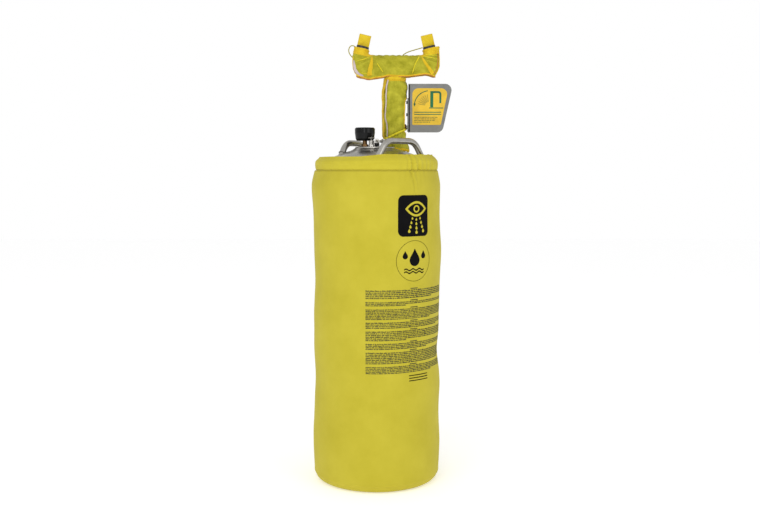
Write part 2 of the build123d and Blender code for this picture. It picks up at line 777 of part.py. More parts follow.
with BuildPart() as head_tee:
    with BuildSketch(yoke_plane.offset(-TEE_HALF)):
        Circle(14)
    extrude(amount=2 * TEE_HALF)
    with BuildSketch(RISER.offset(HEAD_Z - 24)):
        Circle(14)
    extrude(amount=24)
    with BuildSketch(yoke_plane.offset(-TEE_HALF)):
        Circle(BORE)
    extrude(amount=2 * TEE_HALF, mode=Mode.SUBTRACT)
    with BuildSketch(RISER.offset(HEAD_Z - 24)):
        Circle(BORE)
    extrude(amount=24, mode=Mode.SUBTRACT)
    for low in (-TEE_HALF, YOKE_FROM):
        with BuildSketch(yoke_plane.offset(low)):
            Circle(PIPE_R)
        extrude(amount=TEE_HALF - YOKE_FROM, mode=Mode.SUBTRACT)
    with BuildSketch(RISER.offset(HEAD_Z - 24)):
        Circle(PIPE_R)
    extrude(amount=12, mode=Mode.SUBTRACT)
head_tee.part.label = "head_tee"
export_step(head_tee.part, "parts/head_tee.step")

with BuildPart() as yoke_pipes:
    for low in (-YOKE_TO, YOKE_FROM):
        with BuildSketch(yoke_plane.offset(low)):
            Circle(PIPE_R)
            Circle(PIPE_BORE, mode=Mode.SUBTRACT)
        extrude(amount=YOKE_TO - YOKE_FROM)
yoke_pipes.part.label = "yoke_pipes"
export_step(yoke_pipes.part, "parts/yoke_pipes.step")

ELBOW_SOCKET = 18.0
NOZZLE_START = 14.0
SHANK_R = 9.5
left_nozzle = nozzle_plane(SIDES["left"])
inboard = Plane(origin=left_nozzle.origin, x_dir=(0, 1, 0), z_dir=(1, 0, 0))
with BuildPart() as elbows:
    with Locations(left_nozzle.origin):
        Sphere(ELBOW_R)
    with BuildSketch(inboard):
        Circle(ELBOW_R - ELBOW_STEP)
    extrude(amount=ELBOW_SOCKET)
    with BuildSketch(left_nozzle):
        Circle(ELBOW_R - 2 * ELBOW_STEP)
    extrude(amount=20)
    with BuildSketch(inboard.offset(ELBOW_OUT - YOKE_TO)):
        Circle(PIPE_R)
    extrude(amount=20, mode=Mode.SUBTRACT)
    with BuildSketch(inboard):
        Circle(BORE)
    extrude(amount=20, mode=Mode.SUBTRACT)
    with BuildSketch(left_nozzle):
        Circle(BORE - 1)
    extrude(amount=30, mode=Mode.SUBTRACT)
    with BuildSketch(left_nozzle.offset(NOZZLE_START)):
        Circle(SHANK_R)
    extrude(amount=30, mode=Mode.SUBTRACT)
    mirror(about=Plane.YZ.offset(RISER_X))
elbows.part.label = "elbows"
export_step(elbows.part, "parts/elbows.step")

for name, side in SIDES.items():
    section = nozzle_section(side)
    along = nozzle_plane(side)
    with BuildPart() as spray_head:
        with BuildSketch(section):
            with BuildLine():
                Polyline(
                    (6, NOZZLE_START),
                    (SHANK_R, NOZZLE_START),
                    (SHANK_R, 21),
                    (11, 23),
                    (NOZZLE_R, 36),
                    (NOZZLE_R, NOZZLE_TOP),
                    (13, NOZZLE_TOP),
                    (13, 38),
                    (6, 34),
                    close=True,
                )
            make_face()
        revolve(axis=Axis(along.origin, along.z_dir))
    spray_head.part.label = f"spray_head_{name}"
    export_step(spray_head.part, f"parts/spray_head_{name}.step")

FACE_AT = 43.5
with BuildPart() as spray_faces:
    for side in SIDES.values():
        with BuildSketch(nozzle_plane(side).offset(FACE_AT)):
            Circle(13)
            Circle(0.8, mode=Mode.SUBTRACT)
            with PolarLocations(5, 6):
                Circle(0.8, mode=Mode.SUBTRACT)
            with PolarLocations(9.5, 12):
                Circle(0.8, mode=Mode.SUBTRACT)
        extrude(amount=3)
spray_faces.part.label = "spray_faces"
export_step(spray_faces.part, "parts/spray_faces.step")

with BuildPart() as flow_controls:
    for side in SIDES.values():
        with BuildSketch(nozzle_plane(side).offset(24)):
            Circle(6)
            Circle(2, mode=Mode.SUBTRACT)
        extrude(amount=4)
flow_controls.part.label = "flow_controls"
export_step(flow_controls.part, "parts/flow_controls.step")

CAP_LOW = 42.0
CAP_IN_TOP = 53.0
CAP_TOP = 54.8
cap_r = NOZZLE_R + CAP_GAP + CAP_WALL
for name, side in SIDES.items():
    along = nozzle_plane(side)
    with BuildPart() as dust_cap:
        with BuildSketch(along.offset(CAP_LOW)):
            Circle(cap_r)
        extrude(amount=CAP_TOP - CAP_LOW)
        with BuildSketch(along.offset(CAP_LOW)):
            Circle(NOZZLE_R + CAP_GAP)
        extrude(amount=CAP_IN_TOP - CAP_LOW, mode=Mode.SUBTRACT)
    dust_cap.part.label = f"dust_cap_{name}"
    export_step(dust_cap.part, f"parts/dust_cap_{name}.step")

    with BuildPart() as pull_tab:
        with BuildSketch(along.offset(CAP_TOP)):
            RectangleRounded(TAB_SIZE, TAB_THICK, 2.5)
        extrude(amount=TAB_SIZE)
    pull_tab.part.label = f"pull_tab_{name}"
    export_step(pull_tab.part, f"parts/pull_tab_{name}.step")

# ---------------------------------------------------------------- fabric on the riser and the head

SLOT = (905.0, 1005.0)
SLOT_WIDTH = 32.0


def slot_cutter():
    """The opening in the fabric's right side, through which the flag valve's stem comes out."""
    with BuildPart() as cutter:
        with BuildSketch(Plane.YZ.offset(SLEEVE_X + 10)):
            with Locations((RISER_Y, sum(SLOT) / 2)):
                RectangleRounded(SLOT_WIDTH, SLOT[1] - SLOT[0], 8)
        extrude(amount=40)
    return cutter.part


with BuildPart() as riser_sleeve:
    with BuildSketch(SLEEVE_PLANE.offset(SLEEVE_LOW)):
        Ellipse(*SLEEVE)
        Ellipse(SLEEVE[0] - FABRIC, SLEEVE[1] - FABRIC, mode=Mode.SUBTRACT)
    extrude(amount=SLEEVE_TOP - SLEEVE_LOW)
    add(slot_cutter(), mode=Mode.SUBTRACT)
riser_sleeve.part.label = "riser_sleeve"
export_step(riser_sleeve.part, "parts/riser_sleeve.step")

TIE_LEAN = math.radians(24)
TIE_WIDTH = 5.0
TIE_Z = 905.5
tie_slab = Plane(origin=(SLEEVE_X, RISER_Y, TIE_Z), z_dir=(-math.sin(TIE_LEAN), 0, math.cos(TIE_LEAN)))
with BuildPart() as sleeve_tie:
    with BuildSketch(SLEEVE_PLANE.offset(SLEEVE_LOW)):
        Ellipse(SLEEVE[0] + 1.2, SLEEVE[1] + 1.2)
        Ellipse(*SLEEVE, mode=Mode.SUBTRACT)
    extrude(amount=60)
    split(bisect_by=tie_slab.offset(-TIE_WIDTH / 2), keep=Keep.TOP)
    split(bisect_by=tie_slab.offset(TIE_WIDTH / 2), keep=Keep.BOTTOM)
    add(slot_cutter(), mode=Mode.SUBTRACT)
sleeve_tie.part.label = "sleeve_tie"
export_step(sleeve_tie.part, "parts/sleeve_tie.step")


def hood(inset):
    """The head cover's outside, or its inside when the fabric is taken off; its bottom stays open."""
    half = COVER_HALF_Y - inset
    top = COVER_TOP - inset
    low = COVER_LOW - (5 if inset else 0)
    with BuildPart() as solid:
        with BuildSketch(Plane.YZ.offset(COVER_X[0] + inset)):
            with Locations((RISER_Y, (low + top) / 2)):
                Rectangle(2 * half, top - low)
        extrude(amount=COVER_X[1] - COVER_X[0] - 2 * inset)
        fillet(solid.edges().filter_by(Axis.X).group_by(Axis.Z)[-1], 18 - inset)
    return solid.part


with BuildPart() as head_cover:
    add(hood(0))
    for side in SIDES.values():
        with BuildSketch(nozzle_plane(side).offset(22)):
            Circle(CUFF_R)
        extrude(amount=26)
    add(hood(FABRIC), mode=Mode.SUBTRACT)
    for side in SIDES.values():
        with BuildSketch(nozzle_plane(side).offset(15)):
            Circle(CUFF_R - FABRIC)
        extrude(amount=50, mode=Mode.SUBTRACT)
head_cover.part.label = "head_cover"
export_step(head_cover.part, "parts/head_cover.step")

# Each tether runs from its cap's edge to the head cover, and its points are the cord's route.
TETHERS = {
    "left": [
        (-53.9, 60, 1133.5),
        (-61.5, 60, 1138.5),
        (-70.0, 60, 1136),
        (-74.0, 60, 1125),
        (-70.0, 60, 1113.5),
        (-63.2, 60, 1107),
    ],
    "right": [
        (120.9, 62, 1132.5),
        (113.0, 64.5, 1130.6),
        (71.0, 77, 1119.8),
        (66.5, 78.5, 1109.8),
    ],
}
for name, points in TETHERS.items():
    radii = arc_radii(points)
    tether, length = tube_along(points, radii, TETHER_R)
    print(
        f"tether_{name}: length {length:.1f} mm, radii",
        [round(r, 1) for r in radii],
        f"volume over section times length {tether.volume / (math.pi * TETHER_R**2 * length):.4f}",
    )
    tether.label = f"tether_{name}"
    export_step(tether, f"parts/tether_{name}.step")
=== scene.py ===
"""Looks of a portable eyewash station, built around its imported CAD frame. Lengths are in metres."""

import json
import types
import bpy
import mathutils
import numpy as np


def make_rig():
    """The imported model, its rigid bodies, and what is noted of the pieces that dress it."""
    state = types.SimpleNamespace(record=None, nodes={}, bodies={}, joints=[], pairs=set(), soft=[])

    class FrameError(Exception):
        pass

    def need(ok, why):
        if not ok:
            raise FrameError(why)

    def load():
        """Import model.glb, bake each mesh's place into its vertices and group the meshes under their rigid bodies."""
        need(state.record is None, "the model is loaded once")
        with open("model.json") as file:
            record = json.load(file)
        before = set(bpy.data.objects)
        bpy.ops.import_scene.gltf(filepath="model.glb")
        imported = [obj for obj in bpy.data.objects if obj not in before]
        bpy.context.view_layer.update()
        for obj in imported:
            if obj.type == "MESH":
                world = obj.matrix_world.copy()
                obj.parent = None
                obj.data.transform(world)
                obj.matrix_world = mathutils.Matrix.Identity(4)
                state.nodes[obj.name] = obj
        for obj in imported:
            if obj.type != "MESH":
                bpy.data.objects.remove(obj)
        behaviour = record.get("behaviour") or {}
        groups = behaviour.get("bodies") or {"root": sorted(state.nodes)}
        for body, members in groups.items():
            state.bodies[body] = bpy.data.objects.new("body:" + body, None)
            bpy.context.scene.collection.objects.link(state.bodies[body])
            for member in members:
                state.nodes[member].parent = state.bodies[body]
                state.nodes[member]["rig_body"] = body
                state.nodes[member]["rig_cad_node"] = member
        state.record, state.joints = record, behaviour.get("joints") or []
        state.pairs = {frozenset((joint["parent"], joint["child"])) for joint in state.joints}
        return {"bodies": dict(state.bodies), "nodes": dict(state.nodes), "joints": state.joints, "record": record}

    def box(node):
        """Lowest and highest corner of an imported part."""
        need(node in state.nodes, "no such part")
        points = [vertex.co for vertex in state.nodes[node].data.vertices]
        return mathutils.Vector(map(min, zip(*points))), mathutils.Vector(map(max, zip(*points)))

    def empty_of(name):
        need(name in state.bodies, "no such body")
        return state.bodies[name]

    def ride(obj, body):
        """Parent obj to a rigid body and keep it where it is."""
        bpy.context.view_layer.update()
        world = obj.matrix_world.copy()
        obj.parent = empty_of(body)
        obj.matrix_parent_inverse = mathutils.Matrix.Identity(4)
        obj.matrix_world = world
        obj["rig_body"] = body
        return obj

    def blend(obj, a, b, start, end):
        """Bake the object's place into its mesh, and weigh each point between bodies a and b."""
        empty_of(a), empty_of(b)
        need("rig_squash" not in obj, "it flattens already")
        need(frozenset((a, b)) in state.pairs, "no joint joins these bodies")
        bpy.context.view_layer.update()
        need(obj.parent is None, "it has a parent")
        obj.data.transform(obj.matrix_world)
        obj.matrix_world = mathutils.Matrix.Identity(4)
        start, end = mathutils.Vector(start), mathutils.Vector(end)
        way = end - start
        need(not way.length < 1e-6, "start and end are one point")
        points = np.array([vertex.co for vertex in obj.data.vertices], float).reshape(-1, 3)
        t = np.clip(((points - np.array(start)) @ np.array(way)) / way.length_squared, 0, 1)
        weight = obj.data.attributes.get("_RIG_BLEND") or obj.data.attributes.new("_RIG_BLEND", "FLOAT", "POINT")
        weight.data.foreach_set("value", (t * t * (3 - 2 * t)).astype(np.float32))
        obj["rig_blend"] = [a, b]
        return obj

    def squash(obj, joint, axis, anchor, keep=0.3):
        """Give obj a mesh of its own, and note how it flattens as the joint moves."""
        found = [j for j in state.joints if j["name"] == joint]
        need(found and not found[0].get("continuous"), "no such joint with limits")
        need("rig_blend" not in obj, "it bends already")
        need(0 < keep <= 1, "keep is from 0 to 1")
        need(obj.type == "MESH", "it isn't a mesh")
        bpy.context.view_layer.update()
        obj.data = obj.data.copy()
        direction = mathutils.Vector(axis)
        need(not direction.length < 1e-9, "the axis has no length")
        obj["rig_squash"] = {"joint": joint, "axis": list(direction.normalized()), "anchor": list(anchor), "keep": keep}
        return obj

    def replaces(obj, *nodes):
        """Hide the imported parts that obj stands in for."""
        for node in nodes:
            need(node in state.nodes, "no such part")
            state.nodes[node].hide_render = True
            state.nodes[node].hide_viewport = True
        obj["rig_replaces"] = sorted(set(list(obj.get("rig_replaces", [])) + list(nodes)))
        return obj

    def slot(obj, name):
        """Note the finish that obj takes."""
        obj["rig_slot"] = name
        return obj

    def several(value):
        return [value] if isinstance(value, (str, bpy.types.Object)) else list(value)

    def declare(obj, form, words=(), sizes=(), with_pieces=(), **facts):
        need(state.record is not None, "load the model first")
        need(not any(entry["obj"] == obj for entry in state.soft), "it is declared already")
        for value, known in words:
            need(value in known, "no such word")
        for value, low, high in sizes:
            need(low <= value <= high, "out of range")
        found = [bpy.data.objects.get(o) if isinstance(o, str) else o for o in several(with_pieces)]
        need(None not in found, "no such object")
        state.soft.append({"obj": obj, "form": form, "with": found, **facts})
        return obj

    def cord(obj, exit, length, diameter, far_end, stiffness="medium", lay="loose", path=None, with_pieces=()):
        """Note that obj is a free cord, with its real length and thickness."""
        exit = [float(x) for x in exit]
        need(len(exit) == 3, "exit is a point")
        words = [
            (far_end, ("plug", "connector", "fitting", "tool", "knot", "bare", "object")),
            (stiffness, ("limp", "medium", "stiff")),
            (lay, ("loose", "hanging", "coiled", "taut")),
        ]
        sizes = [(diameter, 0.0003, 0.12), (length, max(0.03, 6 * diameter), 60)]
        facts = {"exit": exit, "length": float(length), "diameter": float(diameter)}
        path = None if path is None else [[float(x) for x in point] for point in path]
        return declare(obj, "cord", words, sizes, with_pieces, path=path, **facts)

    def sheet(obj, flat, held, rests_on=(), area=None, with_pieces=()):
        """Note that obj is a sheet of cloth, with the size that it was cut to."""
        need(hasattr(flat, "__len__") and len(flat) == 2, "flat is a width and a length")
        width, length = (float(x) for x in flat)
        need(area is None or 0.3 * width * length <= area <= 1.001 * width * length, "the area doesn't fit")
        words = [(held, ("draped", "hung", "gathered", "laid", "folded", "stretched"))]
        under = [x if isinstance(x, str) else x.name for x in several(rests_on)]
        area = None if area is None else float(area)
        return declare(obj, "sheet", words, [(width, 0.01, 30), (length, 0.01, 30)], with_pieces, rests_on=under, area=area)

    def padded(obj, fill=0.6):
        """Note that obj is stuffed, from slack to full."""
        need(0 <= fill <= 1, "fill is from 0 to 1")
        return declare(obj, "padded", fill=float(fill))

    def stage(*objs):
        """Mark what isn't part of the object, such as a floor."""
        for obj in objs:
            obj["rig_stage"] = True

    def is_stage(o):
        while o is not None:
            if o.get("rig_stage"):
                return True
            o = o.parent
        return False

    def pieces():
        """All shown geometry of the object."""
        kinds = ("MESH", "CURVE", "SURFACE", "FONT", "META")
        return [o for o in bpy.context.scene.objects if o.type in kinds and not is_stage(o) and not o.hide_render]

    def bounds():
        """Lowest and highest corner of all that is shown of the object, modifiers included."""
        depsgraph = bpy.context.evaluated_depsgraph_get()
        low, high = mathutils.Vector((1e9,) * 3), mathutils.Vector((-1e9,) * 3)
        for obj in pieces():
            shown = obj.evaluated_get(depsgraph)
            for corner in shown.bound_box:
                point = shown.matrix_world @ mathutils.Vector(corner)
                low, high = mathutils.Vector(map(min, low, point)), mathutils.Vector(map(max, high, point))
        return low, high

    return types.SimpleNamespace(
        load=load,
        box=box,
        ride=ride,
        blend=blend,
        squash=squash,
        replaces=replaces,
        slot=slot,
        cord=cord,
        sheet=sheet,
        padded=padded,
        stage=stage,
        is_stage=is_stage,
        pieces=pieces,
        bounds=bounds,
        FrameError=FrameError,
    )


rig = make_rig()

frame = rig.load()
cad_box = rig.bounds()

import json
import math
import random

import bmesh
import bpy
from mathutils import Vector, noise
from mathutils.bvhtree import BVHTree

scene = bpy.context.scene
scene.view_settings.view_transform = "Standard"
MM = 0.001


# ---------------- camera
camera = bpy.data.objects.new("camera", bpy.data.cameras.new("camera"))
scene.collection.objects.link(camera)
camera.data.sensor_width = 36.0
camera.data.lens = 47.2
camera.location = (0.0091, -2.6, 0.8147)
camera.rotation_euler = (math.radians(90 - 5.55), 0, 0)
camera.data.clip_end = 60
scene.camera = camera


# ---------------- mesh helpers
def mesh_object(name, verts, faces, uvs=None, smooth=True):
    """A new object from points and faces. uvs holds one (u, v) in metres for each point."""
    mesh = bpy.data.meshes.new(name)
    mesh.from_pydata([tuple(v) for v in verts], [], faces)
    if uvs:
        layer = mesh.uv_layers.new(name="UVMap")
        for loop in mesh.loops:
            layer.data[loop.index].uv = uvs[loop.vertex_index]
    mesh.validate()
    obj = bpy.data.objects.new(name, mesh)
    scene.collection.objects.link(obj)
    if smooth:
        mesh.polygons.foreach_set("use_smooth", [True] * len(mesh.polygons))
    return obj


def grid_object(name, rows, closed_along=False, cap=False):
    """A surface through closed rows of (point, uv). closed_along joins the last row to the first."""
    count = len(rows[0])
    verts = [p for row in rows for p, _ in row]
    uvs = [uv for row in rows for _, uv in row]
    faces = []
    last = len(rows) if closed_along else len(rows) - 1
    for i in range(last):
        below = i * count
        above = ((i + 1) % len(rows)) * count
        for j in range(count):
            k = (j + 1) % count
            faces.append((below + j, below + k, above + k, above + j))
    if cap:
        faces.append(tuple(range(count - 1, -1, -1)))
        start = (len(rows) - 1) * count
        faces.append(tuple(range(start, start + count)))
    return mesh_object(name, verts, faces, uvs)


def sweep(name, line, section, normals=None, closed=False, scale=None):
    """A solid along line, with a section of (across, out) points. normals give the way out at each point."""
    count = len(line)
    rows = []
    travelled = 0.0
    side = None
    for i, p in enumerate(line):
        before = line[i - 1] if (i > 0 or closed) else p
        after = line[(i + 1) % count] if (i < count - 1 or closed) else p
        along = (after - before).normalized()
        if normals is not None:
            side = along.cross(normals[i]).normalized()
        elif side is None:
            guide = Vector((0, 1, 0)) if abs(along.y) < 0.8 else Vector((1, 0, 0))
            side = along.cross(guide).normalized()
        else:
            side = (side - along * side.dot(along)).normalized()
        out = side.cross(along).normalized()
        size = scale(i / max(1, count - 1)) if scale else 1.0
        if i:
            travelled += (p - line[i - 1]).length
        row = []
        for j, (across, away) in enumerate(section):
            place = p + side * across * size + out * away * size
            row.append((place, (j / len(section) * 0.01, travelled)))
        rows.append(row)
    return grid_object(name, rows, closed_along=closed, cap=not closed)


def oval(width, thick, count=10):
    """The points of a flattened round section."""
    turn = [2 * math.pi * k / count for k in range(count)]
    return [(math.cos(a) * width / 2, math.sin(a) * thick / 2) for a in turn]


def smooth_line(points, per_span=8):
    """Points on a smooth curve through the given ones."""
    pts = [Vector(p) for p in points]
    ends = [pts[0] * 2 - pts[1]] + pts + [pts[-1] * 2 - pts[-2]]
    out = []
    for i in range(1, len(ends) - 2):
        a, b, c, d = ends[i - 1], ends[i], ends[i + 1], ends[i + 2]
        for k in range(per_span):
            t = k / per_span
            square = (2 * a - 5 * b + 4 * c - d) * t * t
            out.append(0.5 * ((2 * b) + (c - a) * t + square + (3 * b - a - 3 * c + d) * t ** 3))
    out.append(pts[-1])
    return out


def bump(x, centre, width):
    """1 at centre, falling to 0 over about twice the width."""
    return math.exp(-((x - centre) / width) ** 2)


def step(x, low, high):
    """0 below low, 1 above high, smooth between."""
    t = min(1.0, max(0.0, (x - low) / (high - low)))
    return t * t * (3 - 2 * t)


def baked(obj):
    """obj with its modifiers applied."""
    graph = bpy.context.evaluated_depsgraph_get()
    mesh = bpy.data.meshes.new_from_object(obj.evaluated_get(graph))
    old = obj.data
    obj.modifiers.clear()
    obj.data = mesh
    bpy.data.meshes.remove(old)
    return obj


def solidify(obj, thick, inner=0):
    """Gives a thin surface its thickness. inner is added to the material index of the far side."""
    mod = obj.modifiers.new("thickness", "SOLIDIFY")
    mod.thickness = thick
    mod.offset = -1.0
    mod.use_quality_normals = True
    mod.material_offset = inner
    return baked(obj)


def cut_away(edit, gone):
    """Deletes those faces and the points that nothing holds any more."""
    bmesh.ops.delete(edit, geom=gone, context="FACES")
    bmesh.ops.delete(edit, geom=[v for v in edit.verts if not v.link_faces], context="VERTS")
    edit.edges.index_update()
    edit.verts.index_update()


def boundary_loops(edit):
    """The mesh's open edges as ordered loops of points, the longest first."""
    left = {e for e in edit.edges if e.is_boundary}
    loops = []
    while left:
        first = min(left, key=lambda e: e.index)
        left.discard(first)
        start, here = first.verts[0], first.verts[1]
        chain = [start, here]
        while here is not start:
            following = [e for e in here.link_edges if e in left]
            if not following:
                break
            left.discard(following[0])
            here = following[0].other_vert(here)
            chain.append(here)
        loops.append(chain[:-1] if chain[0] is chain[-1] else chain)
    return sorted(loops, key=len, reverse=True)


def relaxed_edges(edit, loops, rounds):
    """Evens out stair-stepped cut edges along themselves, and gives each one's (points, normals)."""
    for chain in loops:
        for _ in range(rounds):
            places = [v.co.copy() for v in chain]
            for i, v in enumerate(chain):
                v.co = places[i] * 0.5 + (places[i - 1] + places[(i + 1) % len(chain)]) * 0.25
    edit.normal_update()
    return [([v.co.copy() for v in chain], [v.normal.copy() for v in chain]) for chain in loops]


def thinned(line, normals, gap):
    """Every point that is at least gap from the last one kept."""
    kept, facing = [line[0]], [normals[0]]
    for p, n in zip(line, normals):
        if (p - kept[-1]).length > gap and (p - kept[0]).length > gap * 0.6:
            kept.append(p)
            facing.append(n)
    return kept, facing


# ---------------- materials
def linear(colour):
    """An sRGB colour of 0 to 255 as linear RGBA."""
    out = []
    for c in colour:
        c /= 255
        out.append(c / 12.92 if c <= 0.04045 else ((c + 0.055) / 1.055) ** 2.4)
    return (*out, 1.0)


class Shader:
    """A Principled material and short calls for the nodes round it."""

    def __init__(self, name, rough=0.5, metal=0.0, **sockets):
        self.mat = bpy.data.materials.new(name)
        self.mat.use_nodes = True
        self.tree = self.mat.node_tree
        self.out = self.tree.nodes["Principled BSDF"]
        self.out.inputs["Roughness"].default_value = rough
        self.out.inputs["Metallic"].default_value = metal
        for key, value in sockets.items():
            self.out.inputs[key.replace("_", " ")].default_value = value
        self.coords = self.add("ShaderNodeTexCoord")

    def add(self, kind, **inputs):
        made = self.tree.nodes.new(kind)
        for key, value in inputs.items():
            self.put(made.inputs[key.replace("_", " ")], value)
        return made

    def put(self, socket, value):
        if isinstance(value, bpy.types.NodeSocket):
            self.tree.links.new(value, socket)
        else:
            socket.default_value = value

    def place(self, uv=False, scale=(1, 1, 1), turn=(0, 0, 0)):
        source = self.coords.outputs["UV" if uv else "Object"]
        node = self.add("ShaderNodeMapping", Vector=source, Scale=scale, Rotation=turn)
        return node.outputs["Vector"]

    def noise(self, vector, scale, detail=3.0, rough=0.5):
        node = self.add("ShaderNodeTexNoise", Vector=vector, Scale=scale, Detail=detail, Roughness=rough)
        return node.outputs["Fac"]

    def wave(self, vector, scale, direction, distort):
        node = self.add("ShaderNodeTexWave", Vector=vector, Scale=scale, Distortion=distort, Detail=1.0)
        node.bands_direction = direction
        return node.outputs["Fac"]

    def math(self, operation, a, b=0.0):
        node = self.tree.nodes.new("ShaderNodeMath")
        node.operation = operation
        self.put(node.inputs[0], a)
        self.put(node.inputs[1], b)
        return node.outputs[0]

    def ramp(self, value, low, high, a=0.0, b=1.0):
        node = self.add("ShaderNodeMapRange", Value=value)
        node.inputs["From Min"].default_value = low
        node.inputs["From Max"].default_value = high
        node.inputs["To Min"].default_value = a
        node.inputs["To Max"].default_value = b
        return node.outputs["Result"]

    def mix(self, amount, a, b, blend="MIX"):
        node = self.tree.nodes.new("ShaderNodeMix")
        node.data_type = "RGBA"
        node.blend_type = blend
        self.put(node.inputs["Factor"], amount)
        colours = [s for s in node.inputs if s.type == "RGBA"]
        self.put(colours[0], a)
        self.put(colours[1], b)
        return [s for s in node.outputs if s.type == "RGBA"][0]

    def finish(self, colour=None, rough=None, height=None, strength=0.3, distance=MM):
        if colour is not None:
            self.put(self.out.inputs["Base Color"], colour)
        if rough is not None:
            self.put(self.out.inputs["Roughness"], rough)
        if height is not None:
            node = self.add("ShaderNodeBump", Height=height, Strength=strength, Distance=distance)
            self.put(self.out.inputs["Normal"], node.outputs["Normal"])
        return self.mat


def fabric(name, dark, light, thread, uv=True, sheen=0.08, strength=0.35, rough=0.9, patch=9.0, shade=0.1):
    """Woven or knitted cloth with threads of that many millimetres, with painted shade in the weave's low places."""
    s = Shader(name, rough, Sheen_Weight=sheen, Sheen_Roughness=0.5, Specular_IOR_Level=0.12)
    at = s.place(uv)
    patches = s.ramp(s.noise(at, patch, 4.0, 0.6), 0.3, 0.7)
    fuzz = s.noise(at, 1100.0, 2.0, 0.6)
    turns = 1.0 / (thread * MM) / 3.14159
    if uv:
        warp = s.wave(at, turns / 2, "X", 1.2)
        weft = s.wave(at, turns / 2, "Y", 1.2)
    else:
        warp = s.wave(at, turns / 2, "DIAGONAL", 1.0)
        weft = s.wave(at, turns / 2, "Z", 1.0)
    weave = s.math("MULTIPLY", warp, weft)
    height = s.math("ADD", s.math("MULTIPLY", weave, 0.7), s.math("MULTIPLY", fuzz, 0.6))
    colour = s.mix(patches, linear(dark), linear(light))
    # painted shade: the colour is darkened by up to shade where the weave and fuzz are low, as shadow between the
    # threads
    low = [1.0 - shade] * 3 + [1.0]
    colour = s.mix(1.0, colour, s.mix(s.ramp(height, 0.2, 0.9), low, (1, 1, 1, 1)), "MULTIPLY")
    roughness = s.ramp(fuzz, 0.3, 0.7, rough - 0.08, min(1.0, rough + 0.08))
    return s.finish(colour, roughness, height, strength, 0.4 * MM)


def metal(name, tint, rough, brush, wear, strength):
    """Metal with fine lines along one direction, soft patches and small scuffs."""
    s = Shader(name, rough, 1.0)
    at = s.place()
    lines = s.noise(s.place(scale=brush), 55.0, 4.0, 0.65)
    patches = s.noise(at, 26.0, 4.0, 0.6)
    scuffs = s.ramp(s.noise(at, 240.0, 6.0, 0.75), 0.62, 0.78)
    dark = tuple(c * (1 - wear * 2) for c in tint)
    colour = s.mix(s.ramp(patches, 0.3, 0.7), linear(dark), linear(tint))
    bright = tuple(min(255, c * 1.15) for c in tint)
    colour = s.mix(s.math("MULTIPLY", scuffs, 0.25), colour, linear(bright))
    lined = s.ramp(lines, 0.3, 0.7, rough - 0.07, rough + 0.07)
    roughness = s.math("ADD", lined, s.math("MULTIPLY", scuffs, 0.1))
    return s.finish(colour, roughness, lines, strength, 0.2 * MM)


def moulded(name, tint, rough, grain, strength, spread, level=0.5):
    """Moulded plastic or rubber: a fine skin, faint blotches and rubbed spots."""
    s = Shader(name, rough, Specular_IOR_Level=level)
    at = s.place()
    skin = s.noise(at, grain, 3.0, 0.6)
    blotch = s.ramp(s.noise(at, 32.0, 4.0, 0.6), 0.3, 0.7)
    low = tuple(c * (1 - spread) for c in tint)
    high = tuple(min(255, c * (1 + spread) + 2) for c in tint)
    colour = s.mix(blotch, linear(low), linear(high))
    return s.finish(colour, s.ramp(skin, 0.3, 0.7, rough - 0.06, rough + 0.08), skin, strength, 0.15 * MM)


NYLON = {"sheen": 0.05, "rough": 0.62, "patch": 46.0, "shade": 0.12, "strength": 0.3}
TRIM = {"uv": False, "strength": 0.4}
JACKET = fabric("jacket_cloth", (190, 177, 50), (202, 189, 61), 1.3, strength=0.34)
HEM = fabric("hem_cloth", (195, 181, 50), (207, 194, 62), 1.3, strength=0.34, patch=12.0)
OLIVE = fabric("olive_nylon", (152, 148, 26), (194, 187, 54), 0.8, uv=False, **NYLON)
OLIVE_UV = fabric("olive_nylon_sleeve", (154, 150, 28), (198, 192, 58), 0.8, **NYLON)
GOLD = fabric("gold_binding", (216, 178, 30), (234, 202, 46), 1.3,
              uv=False, strength=0.45, rough=0.75, patch=60.0)
RUST = fabric("rust_thread", (196, 120, 52), (214, 150, 84), 0.6, rough=0.75, patch=80.0, **TRIM)
BRIGHT = fabric("bright_tape_and_painted_highlight", (222, 206, 34), (236, 222, 54), 1.0, rough=0.7, patch=60.0, **TRIM)
LINING = fabric("pale_lining", (196, 178, 178), (216, 200, 198), 0.7,
                uv=False, strength=0.2, rough=0.8, patch=50.0)
WEB = fabric("ribbed_webbing", (212, 180, 34), (232, 204, 52), 1.6,
             uv=False, strength=0.6, rough=0.8, patch=50.0)
CORD = fabric("cord_braid", (156, 148, 26), (184, 174, 40), 0.8,
              uv=False, strength=0.5, rough=0.75, patch=90.0)
THREAD = fabric("sewing_thread", (170, 152, 38), (190, 172, 48), 0.4, rough=0.8, patch=90.0, **TRIM)
INK = moulded("black_ink", (7, 7, 9), 0.85, 900.0, 0.15, 0.2, level=0.12)
TEXT_INK = moulded("text_ink", (58, 60, 38), 0.8, 900.0, 0.15, 0.2)
GREEN_INK = moulded("green_ink", (0, 92, 54), 0.6, 900.0, 0.08, 0.15)
LABEL = moulded("label_film", (220, 180, 32), 0.5, 700.0, 0.05, 0.05)
FINE_INK = moulded("fine_label_ink", (112, 112, 40), 0.6, 900.0, 0.08, 0.15)

